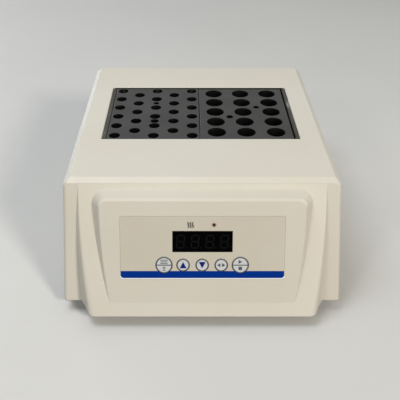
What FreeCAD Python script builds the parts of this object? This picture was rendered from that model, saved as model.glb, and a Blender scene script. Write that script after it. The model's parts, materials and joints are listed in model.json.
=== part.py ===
"""Dry block heater: a moulded bench unit that warms tubes in two lift-out aluminium blocks.

Row frame: millimetres, X to the right, Y to the back, Z up. The origin is on the bench,
under the middle of the unit. The front panel leans back, and its keys travel along its normal.
"""
import FreeCAD
import Part
import math
import os

V = FreeCAD.Vector

# Housing
TOP_Z = 95.0
RIM_Z = 9.0
WALL = 3.0
TOP_HALF = 101.35
DRAFT = 0.03
CREASE_Y = -79.5
WING_TILT = 23.1
REAR_TOP_Y = 131.15
REAR_DRAFT = 0.01
FRONT_BEVEL = 3.3
FRONT_BEVEL_DROP = 2.65
SIDE_BEVEL = 4.3
CORNER_R = 3.0
BEVEL_CORNER_R = 0.6
RIM_EDGE_R = 1.0
CORE_CORNER_R = 1.0
CORE_BEVEL = 1.5

# Front panel's frame, with the apron and the raised bezel measured down its slope
PANEL_Y = -76.55
PANEL_TILT = 24.8
PANEL_END_S = 112.0
BEZEL_PROUD = 13.0
BEZEL_TOP_S = 14.3
BEZEL_TOP_SLOPE = 0.593
BEZEL_HALF = 74.6
BEZEL_TAPER = 7.2
BEZEL_TAPER_RUN = 81.0
BEZEL_SIDE_SLOPE = 0.65
BEZEL_FACE_R = 6.0
BEZEL_BASE_R = 13.0
BEZEL_BROW_DROP = 1.0
BEZEL_BROW_TOP = 1.35
BEZEL_BROW_SIDE = 0.45
BEZEL_SUNK = 2.0
APRON_START_S = 4.8
APRON_FULL_S = 91.0
APRON_CUTS_S = (4.0, 20.0, 40.0, 60.0, 80.0, 100.0, PANEL_END_S)
APRON_HALF = 90.3
APRON_TAPER = 8.6
APRON_TAPER_RUN = 95.2
APRON_SIDE_SLOPE = 0.42
APRON_EDGE = 0.22
APRON_KNEE = 0.78
APRON_CREST = 0.32
APRON_FOOT = 0.14
APRON_DIP = 0.25
APRON_LEAST = 0.3
APRON_SUNK = 4.0
WEDGE_HALF = 74.5
WEDGE_TOP_S = 40.0

# Overlay, display and keys on the bezel face
OVERLAY_HALF = 59.3
OVERLAY_TOP_S = 26.6
OVERLAY_BOTTOM_S = 72.95
OVERLAY_R = 1.5
OVERLAY_SEAT = 0.3
OVERLAY_PROUD = 0.2
WINDOW_HALF = 21.65
WINDOW_TOP_S = 37.35
WINDOW_BOTTOM_S = 52.8
WINDOW_DEEP = 2.0
WINDOW_LEDGE = 1.0
KEY_S = 62.5
KEY_SHIFT_X = -0.2
KEY_PITCH = 13.8
KEY_BIG_R = 6.0
KEY_SMALL_R = 4.65
KEY_PROUD = 0.4
KEY_CROWN_R = 0.25
KEY_CAP_DEEP = 0.9
KEY_POCKET_DEEP = 1.6
KEY_STEM_R = 2.5
KEY_STEM_DEEP = 5.5
KEY_BARB_R = 3.3
KEY_BARB_NEAR = 0.8
KEY_BARB_FAR = 2.2
KEY_GAP = 0.3
LAMP_S = 32.9
ALARM_X = 8.2
ALARM_R = 1.15
ALARM_COLLAR_R = 1.9
ALARM_COLLAR_TALL = 3.0
HEAT_X = -8.6
HEAT_HALF = 2.4

# Display board behind the bezel
BOARD_DEEP = 10.5
BOARD_THICK = 1.6
BOARD_HALF = 60.0
BOARD_TOP_S = 26.5
BOARD_LOW_S = 73.0
BOARD_CORNER_R = 2.0
BOARD_POST_R = 3.0
BOARD_POSTS = [(x, s) for x in (-56.0, 56.0) for s in (30.0, 69.0)]
MODULE_HALF = 20.0
MODULE_INSET = 1.3
MODULE_DEEP = 3.5
DIGITS = 4
DIGIT_PITCH = 9.8
DIGIT_WIDE = 5.4
DIGIT_TALL = 9.6
SEGMENT = 0.9
SEGMENT_THICK = 0.3
SEGMENT_GAP = 0.25
SWITCH_HALF = 3.0
SWITCH_TALL = 3.4
PLUNGER_R = 1.7
PLUNGER_PLAY = 0.5
HEADER_HALF = 11.0
HEADER_WIDE = 6.0
HEADER_TALL = 4.5
HEADER_S = 66.5

# Well, blocks and heater
WELL_HALF = 80.35
WELL_FRONT_Y = -18.95
WELL_BACK_Y = 81.05
WELL_CORNER_R = 1.2
WELL_EDGE_R = 0.9
WELL_INSET = 0.3
SHEET = 1.2
TRAY_HALF = 77.15
CHEEK_TOP_Z = 94.1
CHEEK_SHORT = 1.5
FLANGE_HALF = 96.0
FLANGE_WIDE = 8.0
LIP = 6.0
BLOCK_TALL = 50.8
BLOCK_WIDE = 75.7
BLOCK_DEEP = 95.25
BLOCK_FRONT_Y = -17.85
BLOCK_GAP = 0.6
BLOCK_SHIFT_X = -0.5
BLOCK_TOP_Z = 94.5
BLOCK_EDGE = 0.4
TUBE_DEEP = 44.0
TUBE_MID_Y = 30.15
BIG_TUBE_R = 7.7
BIG_TUBE_PITCH_X = 24.37
BIG_TUBE_PITCH_Y = 18.57
SMALL_TUBE_R = 4.6
SMALL_TUBE_PITCH_X = 15.84
SMALL_TUBE_PITCH_Y = 17.15
LEFT_GAUGE_R = (2.5, 3.5)
RIGHT_GAUGE_R = (2.65, 3.0)
PLATE_THICK = 8.0
PLATE_THREAD = 6.0
PLATE_FIXINGS = [(x, y) for x in (-74.2, 74.2) for y in (-2.0, 62.0)]
TRAY_FIXINGS = [(x, y) for x in (-93.0, 93.0) for y in (-8.0, 68.0)]
MAT_THICK = 2.0
MAT_CORNER_R = 4.0
CUTOUT_AT = (34.0, 30.0)
CUTOUT_R = 8.0
CUTOUT_CAP_R = 5.0
CUTOUT_TALL = 7.0
CUTOUT_CAP_TALL = 8.5
CUTOUT_TAB_TALL = 12.0
PROBE_X = -10.0
PROBE_R = 2.0
PROBE_DEEP = 29.0
PROBE_NUT = 7.0
PROBE_NUT_THICK = 4.0
PROBE_SLEEVE_R = 2.6
INSULATION = 9.5
INSULATION_BACK = 7.2
INSULATION_TOP_Z = 90.3
INSULATION_FLOOR_Z = 32.0
INSULATION_CORNER_R = 5.0
CRADLE_TOP_Z = 21.3
CRADLE_TOE = 13.0
CRADLE_SHORT = 2.0
CRADLE_PAST = 6.0
CRADLE_FIXINGS = [(x, y) for x in (-81.0, 81.0) for y in (-10.0, 70.0)]
HEATER_LEADS_X = (-34.0, -26.0)
HEATER_LEADS_Y = -4.0
HEATER_LEAD_R = 1.0

# Base
PAN_Z = 9.8
PAN_THICK = 1.5
PAN_GAP = 0.6
PAN_CORNER_R = 3.0
PAN_NOSE = 13.6
FOOT_X = 84.0
FOOT_FRONT_Y = -94.0
FOOT_BACK_Y = 108.0
FOOT_R = 10.0
FOOT_TAPER = 1.0
FOOT_BORE_R = 5.0
FOOT_BORE_TALL = 5.0
BOSS_X = 96.6
BOSS_FRONT_Y = -75.0
BOSS_BACK_Y = 92.0
BOSS_R = 4.5
BOSS_TOP_Z = 40.0
VENT_X = 42.0
VENT_FRONT_Y = -8.0
VENT_LONG = 40.0
VENT_WIDE = 3.0
VENT_STEP = 9.0
VENTS = 7
EARTH_STUD = (-66.0, 102.0)
EARTH_STUD_TALL = 9.0

# Rear recess, mains inlet and rocker
REAR_PANEL_Y = 126.6
REAR_PANEL_HALF = 62.0
REAR_PANEL_LOW_Z = 20.0
REAR_PANEL_HIGH_Z = 66.0
REAR_PANEL_R = 4.0
INLET_X = -30.0
INLET_Z = 42.0
INLET_HALF_WIDE = 14.0
INLET_HALF_TALL = 14.9
INLET_FLANGE_HALF = 25.0
INLET_FLANGE_TALL = 16.8
INLET_FLANGE_R = 3.0
INLET_FLANGE_THICK = 2.2
INLET_BACK_Y = 105.0
INLET_FIXINGS = (INLET_X - 20.0, INLET_X + 20.0)
SOCKET_Z = 36.5
SOCKET_HALF_WIDE = 12.1
SOCKET_HALF_TALL = 8.1
SOCKET_CORNER = 5.0
SOCKET_FLOOR_Y = 112.0
PIN_HALF_WIDE = 1.0
PIN_HALF_TALL = 2.0
PIN_TIP_Y = 125.0
PIN_TIP_R = 0.7
TAB_HALF_THICK = 0.4
TAB_HALF_TALL = 3.1
TAB_END_Y = 98.0
DRAWER_Z = 51.5
DRAWER_HALF_WIDE = 11.4
DRAWER_HALF_TALL = 3.3
DRAWER_BACK = 1.6
DRAWER_PROUD = 0.6
DRAWER_GRIP_R = 3.0
FUSE_LONG = 20.0
FUSE_X = 5.4
FUSE_CAP_R = 2.55
FUSE_CAP_LONG = 5.2
FUSE_GLASS_R = 2.3
ROCKER_X = 32.0
ROCKER_Z = 42.0
ROCKER_TILT = 10.0
ROCKER_PIVOT_Y = 124.0
ROCKER_BACK_Y = 108.0
ROCKER_HALF_WIDE = 5.3
ROCKER_HALF_LONG = 8.2
ROCKER_VALLEY = 4.0
ROCKER_RISE = 1.4
ROCKER_SHOULDER = 1.5
ROCKER_HEEL = 3.5
ROCKER_HEEL_HALF = 4.5
ROCKER_EDGE_R = 0.6
ROCKER_PIN_R = 1.25
ROCKER_PIN_HALF = 6.9
ROCKER_PIN_PLAY = 0.08
ROCKER_FRAME_WIDE = 7.0
ROCKER_FRAME_TALL = 10.4
ROCKER_MOUTH_WIDE = 5.6
ROCKER_MOUTH_TALL = 9.4
ROCKER_MOUTH_DEEP = 9.0
ROCKER_RIM_WIDE = 8.2
ROCKER_RIM_TALL = 12.0
ROCKER_RIM_THICK = 1.8
ROCKER_TABS_Z = (ROCKER_Z - 5.0, ROCKER_Z + 5.0)
ROCKER_TAB_HALF = 2.4

# Control board, and the parts on it as x and y ranges and heights
CONTROL_Z = 19.3
CONTROL_HALF = 62.0
CONTROL_FRONT_Y = -98.0
CONTROL_BACK_Y = -36.0
CONTROL_HEADER_Y = CONTROL_FRONT_Y + 10.0
BOARD_STANDOFFS = [(x, y) for x in (-57.0, 57.0) for y in (CONTROL_FRONT_Y + 5.0, CONTROL_BACK_Y - 5.0)]
STANDOFF_FLATS = 6.0
CORE = (-50.0, -12.0, -72.0, -42.0)
CORE_TALL = 30.0
BOBBIN = (-46.0, -16.0, -76.0, -38.0)
BOBBIN_LOW, BOBBIN_HIGH = 5.0, 25.0
RELAY = (-6.0, 13.0, -78.0, -62.0)
RELAY_TALL = 15.5
SINK_X = (24.0, 51.0)
SINK_Y = (-63.0, -60.0, -46.0)
SINK_TALL = 26.0
SINK_FINS = 6
SINK_FIN = 2.0
TRIAC = (33.0, 43.0, -67.6, -63.0)
TRIAC_LOW, TRIAC_HIGH = 3.0, 19.0
TRIAC_PIN_Y = (-66.0, -65.2)
TRIAC_PIN_PITCH = 2.5
CANS = (
    (20.0, -84.0, 5.0, 14.0),
    (33.0, -84.0, 5.0, 14.0),
    (46.0, -84.0, 4.0, 11.0),
    (-28.0, -88.0, 6.3, 12.0),
)
CAN_EDGE_R = 0.8
TERMINAL_BODY = (-8.0, 20.0, -46.0, -38.0)
TERMINAL_TALL = 12.0
TERMINAL_WAYS = 4
TERMINAL_PITCH = 7.0
TERMINAL_FIRST_X = -4.5
TERMINAL_WIRE_Z = 4.0
TERMINAL_WIRE_R = 1.6
TERMINAL_SCREW_R = 2.2
CHIP = (-7.0, 7.0, -58.0, -50.0)
CHIP_TALL = 2.4

# Wires
WIRE_R = 1.1
WIRE_BEND = 1.8
WIRE_LEAD = 5.0
LANE_X = -95.5
LANE_Y = -33.5
SWITCHED_LANE_Z = 62.0
NEUTRAL_LANE_Z = 54.0
HEATER_LANE_Z = 15.6
PROBE_LEAD_R = 0.9
PROBE_LEAD_BEND = 4.0
RIBBON_HALF = 9.0
RIBBON_THICK = 1.0
RIBBON_BEND = 4.0

# Screws as head radius, head thickness and shank radius
M2 = (2.2, 1.6, 1.0)
M3 = (2.8, 1.9, 1.5)
CASE_SCREW = (3.2, 2.2, 1.6)
FOOT_SCREW = (4.0, 2.6, 2.0)
M3_NUT = (5.5, 2.4)
M4_NUT = (7.0, 3.2)

# Shared clearances, and how far a cutting tool runs past what it cuts
LOOSE = 0.1
FREE = 0.3
PAST = 5.0
THROUGH = 20.0
FAR = 300.0

# Values that follow from those above
TILT = math.radians(WING_TILT)
WING_RUN = math.tan(TILT)
WING_TURN = math.radians(PANEL_TILT - WING_TILT)
WING_RISE = (PANEL_Y - CREASE_Y) * math.cos(TILT) / math.cos(WING_TURN)
DECK_LOW = TOP_Z - WALL
PAN_TOP = PAN_Z + PAN_THICK
PLATE_TOP = BLOCK_TOP_Z - BLOCK_TALL
PLATE_LOW = PLATE_TOP - PLATE_THICK
PROBE_Z = PLATE_LOW + PLATE_THICK / 2
CONTROL_TOP = CONTROL_Z + BOARD_THICK
FACE = BEZEL_PROUD
OVERLAY_FACE = FACE + OVERLAY_PROUD
MODULE_FACE = FACE - MODULE_DEEP
BOARD_FACE = FACE - BOARD_DEEP
BOARD_BACK = BOARD_FACE - BOARD_THICK
CHEEK_HALF = WELL_HALF - LOOSE
TRAY_FRONT = WELL_FRONT_Y + WELL_INSET
TRAY_BACK = WELL_BACK_Y - WELL_INSET
JACKET_HALF = TRAY_HALF + SHEET + FREE
JACKET_FRONT = TRAY_FRONT - SHEET - FREE
JACKET_BACK = TRAY_BACK + SHEET + FREE
PROBE_NUT_Y = JACKET_FRONT - INSULATION - 1.0
INLET_FRONT_Y = REAR_PANEL_Y + INLET_FLANGE_THICK
BASE_BOSSES = [(x, y) for x in (-BOSS_X, BOSS_X) for y in (BOSS_FRONT_Y, BOSS_BACK_Y)]
FEET = [(x, y) for x in (-FOOT_X, FOOT_X) for y in (FOOT_FRONT_Y, FOOT_BACK_Y)]
TERMINAL_WIRE_Y = TERMINAL_BODY[3] + LOOSE
TERMINALS = [(TERMINAL_FIRST_X + TERMINAL_PITCH * way, TERMINAL_WIRE_Y, CONTROL_TOP + TERMINAL_WIRE_Z)
             for way in range(TERMINAL_WAYS)]
PIN_TABS = {
    "live": (INLET_X + 7.0, SOCKET_Z + 2.0),
    "neutral": (INLET_X - 7.0, SOCKET_Z + 2.0),
    "earth": (INLET_X, SOCKET_Z - 2.0),
}
KEYS = {
    "key_set": (KEY_SHIFT_X - 2 * KEY_PITCH, KEY_BIG_R),
    "key_up": (KEY_SHIFT_X - KEY_PITCH, KEY_SMALL_R),
    "key_down": (KEY_SHIFT_X, KEY_SMALL_R),
    "key_shift": (KEY_SHIFT_X + KEY_PITCH, KEY_SMALL_R),
    "key_start": (KEY_SHIFT_X + 2 * KEY_PITCH, KEY_BIG_R),
}

# The front panel's frame: x to the right, y up the slope, z out along the normal
PANEL = FreeCAD.Placement(V(0, PANEL_Y, TOP_Z), FreeCAD.Rotation(V(1, 0, 0), 90 - PANEL_TILT)).toMatrix()


def box(x0, x1, y0, y1, z0, z1):
    return Part.makeBox(x1 - x0, y1 - y0, z1 - z0, V(x0, y0, z0))


def rod(radius, start, end):
    axis = V(*end) - V(*start)
    return Part.makeCylinder(radius, axis.Length, V(*start), axis)


def cone(radius_start, radius_end, start, end):
    axis = V(*end) - V(*start)
    return Part.makeCone(radius_start, radius_end, axis.Length, V(*start), axis)


def prism(points, travel):
    """A closed flat outline, pushed along a vector."""
    corners = [V(*point) for point in points]
    return Part.Face(Part.makePolygon(corners + corners[:1])).extrude(V(*travel))


def edges_along(solid, direction):
    """Straight edges that run along a direction."""
    found = []
    for edge in solid.Edges:
        tangent = edge.tangentAt(edge.FirstParameter)
        if abs(abs(tangent.dot(V(*direction))) - 1) < 0.002:
            found.append(edge)
    return found


def edges_at(solid, z):
    """Edges that lie in the level plane at a height."""
    return [edge for edge in solid.Edges if all(abs(vertex.Z - z) < 0.01 for vertex in edge.Vertexes)]


def rounded_box(x0, x1, y0, y1, z0, z1, radius):
    """A box with its four upright edges rounded."""
    solid = box(x0, x1, y0, y1, z0, z1)
    return solid.makeFillet(radius, edges_along(solid, (0, 0, 1)))


def rounded_plate(x, z, half_wide, half_tall, y0, y1, radius):
    """A plate that faces along Y, about a centre, with its four edges along Y rounded."""
    solid = box(x - half_wide, x + half_wide, y0, y1, z - half_tall, z + half_tall)
    return solid.makeFillet(radius, edges_along(solid, (0, 1, 0)))


def hexagon(across_flats, centre, axis_index, thick):
    """A six-sided prism along the row's Y (1) or Z (2) axis, from its centre point."""
    corner = across_flats / math.sqrt(3)
    outline = []
    for step in range(6):
        turn = math.radians(60 * step)
        a, b = corner * math.cos(turn), corner * math.sin(turn)
        outline.append({1: (a, 0, b), 2: (a, b, 0)}[axis_index])
    travel = {1: (0, thick, 0), 2: (0, 0, thick)}[axis_index]
    solid = prism(outline, travel)
    solid.translate(V(*centre))
    return solid


def nut(size, hole_r, centre, axis_index):
    across_flats, thick = size
    x, y, z = centre
    end = {1: (x, y + thick, z), 2: (x, y, z + thick)}[axis_index]
    return hexagon(across_flats, centre, axis_index, thick).cut(rod(hole_r, centre, end))


def screw(size, seat, tip):
    """A slotted pan-head screw: its head stands behind the seat point and its shank ends at the tip."""
    head_r, head_thick, shank_r = size
    axis = V(*tip) - V(*seat)
    axis.normalize()
    back = V(*seat) - axis * head_thick
    head = Part.makeCylinder(head_r, head_thick, back, axis)
    rim = [edge for edge in head.Edges if edge.Closed and (edge.CenterOfMass - back).Length < 0.01]
    head = head.makeFillet(head_thick * 0.4, rim)
    slot_long, slot_wide, slot_deep = 2.4 * head_r, 0.3 * head_r, 0.4 * head_thick
    slot = Part.makeBox(slot_long, slot_wide, 2 * slot_deep, V(-slot_long / 2, -slot_wide / 2, -slot_deep))
    slot.Placement = FreeCAD.Placement(back, FreeCAD.Rotation(V(0, 0, 1), axis))
    return head.cut(slot).fuse(rod(shank_r, seat, tip)).removeSplitter()


def clear_hole(size, start, end):
    """The hole that a screw of this size passes through."""
    return rod(size[2] + LOOSE, start, end)


def upright_holes(size, places, z0, z1):
    return [clear_hole(size, (x, y, z0), (x, y, z1)) for x, y in places]


def upright_screws(size, places, seat_z, tip_z):
    return group([screw(size, (x, y, seat_z), (x, y, tip_z)) for x, y in places])


def bend_between(before, corner, after, radius):
    """A tangent arc at a corner, as its first, middle and last point."""
    back = (before - corner).normalize()
    ahead = (after - corner).normalize()
    half = math.acos(max(-1, min(1, back.dot(ahead)))) / 2
    cut = radius / math.tan(half)
    middle = corner + (back + ahead).normalize() * (radius / math.sin(half) - radius)
    return corner + back * cut, middle, corner + ahead * cut


def bent_path(points, bend):
    """Straight runs joined by tangent arcs."""
    path = [V(*point) for point in points]
    edges = []
    start = path[0]
    for before, corner, after in zip(path, path[1:], path[2:]):
        first, middle, last = bend_between(before, corner, after, bend)
        edges.append(Part.LineSegment(start, first).toShape())
        edges.append(Part.Arc(first, middle, last).toShape())
        start = last
    edges.append(Part.LineSegment(start, path[-1]).toShape())
    return Part.Wire(edges)


def wire(points, radius, bend):
    """A round wire along a bent path."""
    start, towards = V(*points[0]), V(*points[1])
    ring = Part.Wire(Part.Circle(start, towards - start, radius).toShape())
    return bent_path(points, bend).makePipeShell([ring], True, False)


def on_panel(shape):
    return shape.transformed(PANEL)


def panel_point(x, s, proud):
    """The row point that is s down the slope and proud of the wing plane."""
    return PANEL.multVec(V(x, -s, proud))


def group(shapes):
    return Part.makeCompound(shapes)


def cut_all(solid, tools):
    for tool in tools:
        solid = solid.cut(tool)
    return solid


def fuse_all(solid, pieces):
    for piece in pieces:
        solid = solid.fuse(piece)
    return solid.removeSplitter()


def draft_half(z):
    return TOP_HALF + (TOP_Z - z) * DRAFT


def rear_y(z):
    return REAR_TOP_Y + (TOP_Z - z) * REAR_DRAFT


def front_y(z):
    return CREASE_Y - (TOP_Z - z) * WING_RUN


def rounded_outline(half, front, back, z, radius):
    """A level oblong with its four corners rounded."""
    corners = [V(half, front, z), V(half, back, z), V(-half, back, z), V(-half, front, z)]
    short_way = radius * (1 - math.sqrt(0.5))
    arcs = []
    for index, corner in enumerate(corners):
        back_way = (corners[index - 1] - corner).normalize()
        on_way = (corners[(index + 1) % 4] - corner).normalize()
        middle = corner + (back_way + on_way) * short_way
        arcs.append(Part.Arc(corner + back_way * radius, middle, corner + on_way * radius))
    edges = []
    for index, arc in enumerate(arcs):
        edges += [line(arcs[index - 1].EndPoint, arc.StartPoint), arc.toShape()]
    return Part.Wire(edges)


def casing_block(z0, z1, inset, corner_r, side_bevel):
    """The drafted body between two heights, drawn in by an inset, with its top edges bevelled."""
    wires = []
    for z in sorted((z0, z1 - side_bevel, z1 - FRONT_BEVEL_DROP, z1)):
        side_cut = max(side_bevel - (z1 - z), 0)
        front_cut = FRONT_BEVEL * max(1 - (z1 - z) / FRONT_BEVEL_DROP, 0)
        half = draft_half(z) - inset - side_cut
        front = front_y(z) + inset / math.cos(TILT) + front_cut
        back = rear_y(z) - inset - side_cut
        radius = corner_r + (BEVEL_CORNER_R - corner_r) * side_cut / side_bevel
        wires.append(rounded_outline(half, front, back, z, radius))
    return Part.makeLoft(wires, True, True)


def wing_rise(s):
    """How far the wings stand out from the panel's own plane, at a distance down the slope."""
    return WING_RISE - s * math.tan(WING_TURN)


def apron_rise(s):
    start = wing_rise(APRON_START_S)
    return start + (BEZEL_PROUD - start) * (s - APRON_START_S) / (APRON_FULL_S - APRON_START_S)


def apron_half(s):
    return APRON_HALF - APRON_TAPER * ((s - APRON_START_S) / APRON_TAPER_RUN) ** 2


def bezel_half(s):
    return BEZEL_HALF - BEZEL_TAPER * ((s - BEZEL_TOP_S) / BEZEL_TAPER_RUN) ** 2


def line(start, end):
    return Part.LineSegment(start, end).toShape()


def bezier(*poles):
    curve = Part.BezierCurve()
    curve.setPoles(list(poles))
    return curve.toShape()


def apron_section(s):
    """One cut across the apron: flat top, rounded edges and side walls that run out into the wings."""
    rise = apron_rise(s)
    base = wing_rise(s)
    tall = max(rise - base, APRON_LEAST)
    half = apron_half(s)
    ease = APRON_EDGE * tall
    knee = half + APRON_KNEE * ease
    crest = half + APRON_CREST * ease
    foot = half + APRON_SIDE_SLOPE * tall + APRON_DIP
    toe = foot + APRON_FOOT * tall
    toe_z = base - APRON_DIP
    foot_z = base + APRON_FOOT * tall

    def at(x, z):
        return V(x, -s, z)

    def wall(side):
        return bezier(at(side * toe, toe_z), at(side * foot, foot_z), at(side * knee, rise - ease))

    def edge(side):
        return bezier(at(side * knee, rise - ease), at(side * crest, rise), at(side * (half - ease), rise))

    return Part.Wire([
        line(at(-toe, -APRON_SUNK), at(toe, -APRON_SUNK)),
        line(at(toe, -APRON_SUNK), at(toe, toe_z)),
        wall(1),
        edge(1),
        line(at(half - ease, rise), at(ease - half, rise)),
        edge(-1),
        wall(-1),
        line(at(-toe, toe_z), at(-toe, -APRON_SUNK)),
    ])


def bezel_outline(proud, top_s, grow, corner_r):
    """The bezel's outline at a height: a straight top, rounded top corners and bowed sides."""
    def at(x, s):
        return V(x, -s, proud)

    def half(s):
        return bezel_half(max(s, BEZEL_TOP_S)) + grow

    bottom_s = PANEL_END_S
    side_s = top_s + corner_r
    middle_s = (side_s + bottom_s) / 2

    def flank(side):
        return Part.Arc(at(side * half(side_s), side_s), at(side * half(middle_s), middle_s),
                        at(side * half(bottom_s), bottom_s)).toShape()

    def corner(side):
        edge = flank(side)
        foot = edge.valueAt(edge.FirstParameter)
        way = edge.tangentAt(edge.FirstParameter)
        knee = foot + way * ((-top_s - foot.y) / way.y)
        inside = way.getAngle(V(-side, 0, 0))
        radius = (foot - knee).Length * math.tan(inside / 2)
        return Part.Arc(*bend_between(at(0, top_s), knee, foot, radius))

    left, right = corner(-1), corner(1)
    top = line(left.StartPoint, right.StartPoint)
    bottom = line(at(half(bottom_s), bottom_s), at(-half(bottom_s), bottom_s))
    return Part.Wire([top, right.toShape(), flank(1), bottom, flank(-1), left.toShape()])


def bezel_block(face, back, inset):
    """The raised bezel with its bevelled brow, or the hollow behind it when drawn in by an inset."""
    top_s = BEZEL_TOP_S + inset
    grow = BEZEL_SIDE_SLOPE * (BEZEL_PROUD - face) - inset

    def wall(drop, corner_r):
        spread = grow + drop * BEZEL_SIDE_SLOPE
        return bezel_outline(face - drop, top_s - drop * BEZEL_TOP_SLOPE, spread, corner_r)

    brow = bezel_outline(face, top_s + BEZEL_BROW_TOP, grow - BEZEL_BROW_SIDE, BEZEL_FACE_R)
    walls = [wall(face - back, BEZEL_BASE_R), wall(BEZEL_BROW_DROP, BEZEL_FACE_R)]
    return Part.makeLoft(walls + [brow], True, True)


def outer_form():
    body = casing_block(RIM_Z, TOP_Z, 0, CORNER_R, SIDE_BEVEL)
    body = body.makeFillet(RIM_EDGE_R, edges_at(body, RIM_Z))
    apron = Part.makeLoft([apron_section(s) for s in APRON_CUTS_S], True, False)
    bezel = bezel_block(FACE, -BEZEL_SUNK, 0)
    form = body.fuse(on_panel(apron)).fuse(on_panel(bezel)).removeSplitter()
    return form.cut(box(-FAR, FAR, -FAR, FAR, -FAR, RIM_Z))


def hollow_form():
    """Everything that the mould's core takes out of the housing, open at the rim."""
    sunk = 8.0
    core = casing_block(RIM_Z - PAST, DECK_LOW, WALL, CORE_CORNER_R, CORE_BEVEL)
    behind_bezel = bezel_block(FACE - WALL, -sunk, WALL + 0.8)
    lean = WALL + 0.3
    side = [(WEDGE_TOP_S, -sunk), (WEDGE_TOP_S, apron_rise(WEDGE_TOP_S) - lean),
            (PANEL_END_S, apron_rise(PANEL_END_S) - lean), (PANEL_END_S, -sunk)]
    wedge = prism([(-WEDGE_HALF, -s, z) for s, z in side], (2 * WEDGE_HALF, 0, 0))
    return core.fuse(on_panel(behind_bezel)).fuse(on_panel(wedge))


def window_block(grow, low, high):
    half = WINDOW_HALF + grow
    return box(-half, half, -WINDOW_BOTTOM_S - grow, grow - WINDOW_TOP_S, low, high)


def heat_block(grow, low, high):
    half = HEAT_HALF + grow
    return box(HEAT_X - half, HEAT_X + half, -LAMP_S - half, half - LAMP_S, low, high)


def alarm_rod(radius, low, high):
    return rod(radius, (ALARM_X, -LAMP_S, low), (ALARM_X, -LAMP_S, high))


def key_rod(x, radius, low, high):
    return rod(radius, (x, -KEY_S, low), (x, -KEY_S, high))


def overlay_sheet(grow, low, high):
    half = OVERLAY_HALF + grow
    return rounded_box(-half, half, -OVERLAY_BOTTOM_S - grow, grow - OVERLAY_TOP_S,
                       low, high, OVERLAY_R + grow)


def panel_cuts():
    """Seats and openings for the overlay, window, keys and lamps, cut from the bezel face."""
    proud = FACE + PAST
    inside = FACE - THROUGH
    cuts = [
        overlay_sheet(LOOSE, FACE - OVERLAY_SEAT, proud),
        window_block(LOOSE, FACE - WINDOW_DEEP, proud),
        window_block(-WINDOW_LEDGE, inside, FACE),
        alarm_rod(ALARM_R + LOOSE, inside, proud),
        heat_block(LOOSE, inside, proud),
    ]
    for x, radius in KEYS.values():
        cuts.append(key_rod(x, radius + KEY_GAP, FACE - KEY_POCKET_DEEP, proud))
        cuts.append(key_rod(x, KEY_STEM_R + KEY_GAP, inside, FACE))
    return [on_panel(cut) for cut in cuts]


def rear_cuts():
    """The recess in the back wall, and the openings in its floor for the inlet and the rocker."""
    recess_z = (REAR_PANEL_LOW_Z + REAR_PANEL_HIGH_Z) / 2
    recess_tall = (REAR_PANEL_HIGH_Z - REAR_PANEL_LOW_Z) / 2
    inside, outside = REAR_PANEL_Y - THROUGH, REAR_PANEL_Y + 1
    inlet_wide, inlet_tall = INLET_HALF_WIDE + FREE, INLET_HALF_TALL + FREE
    rocker_wide, rocker_tall = ROCKER_FRAME_WIDE + FREE, ROCKER_FRAME_TALL + FREE
    cuts = [
        rounded_plate(0, recess_z, REAR_PANEL_HALF, recess_tall, REAR_PANEL_Y, FAR, REAR_PANEL_R),
        box(INLET_X - inlet_wide, INLET_X + inlet_wide, inside, outside,
            INLET_Z - inlet_tall, INLET_Z + inlet_tall),
        box(ROCKER_X - rocker_wide, ROCKER_X + rocker_wide, inside, outside,
            ROCKER_Z - rocker_tall, ROCKER_Z + rocker_tall),
    ]
    return cuts + [clear_hole(M3, (x, inside, INLET_Z), (x, outside, INLET_Z)) for x in INLET_FIXINGS]


def make_housing():
    pad = REAR_PANEL_HALF + WALL
    rear_pad = box(-pad, pad, REAR_PANEL_Y - WALL, rear_y(REAR_PANEL_LOW_Z) - 1,
                   REAR_PANEL_LOW_Z - WALL, REAR_PANEL_HIGH_Z + WALL)
    bosses = [rod(BOSS_R, (x, y, PAN_TOP), (x, y, BOSS_TOP_Z)) for x, y in BASE_BOSSES]
    posts = [on_panel(rod(BOARD_POST_R, (x, -s, BOARD_FACE), (x, -s, FACE - 1))) for x, s in BOARD_POSTS]
    core = cut_all(hollow_form(), [rear_pad] + bosses + posts)
    shell = outer_form().cut(core)
    shell = shell.cut(rounded_box(-WELL_HALF, WELL_HALF, WELL_FRONT_Y, WELL_BACK_Y,
                                  DECK_LOW - PAST, TOP_Z + PAST, WELL_CORNER_R))
    mouth = []
    for edge in edges_at(shell, TOP_Z):
        middle = edge.CenterOfMass
        if abs(middle.x) < WELL_HALF + 1 and WELL_FRONT_Y - 1 < middle.y < WELL_BACK_Y + 1:
            mouth.append(edge)
    shell = shell.makeFillet(WELL_EDGE_R, mouth)
    cuts = panel_cuts() + rear_cuts()
    cuts += upright_holes(CASE_SCREW, BASE_BOSSES, PAN_TOP - 1, PAN_TOP + 14)
    cuts += upright_holes(M3, TRAY_FIXINGS, DECK_LOW - 1, TOP_Z - 1)
    cuts += [on_panel(clear_hole(M2, (x, -s, BOARD_FACE - 1), (x, -s, BOARD_FACE + 6)))
             for x, s in BOARD_POSTS]
    return cut_all(shell, cuts)


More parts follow.
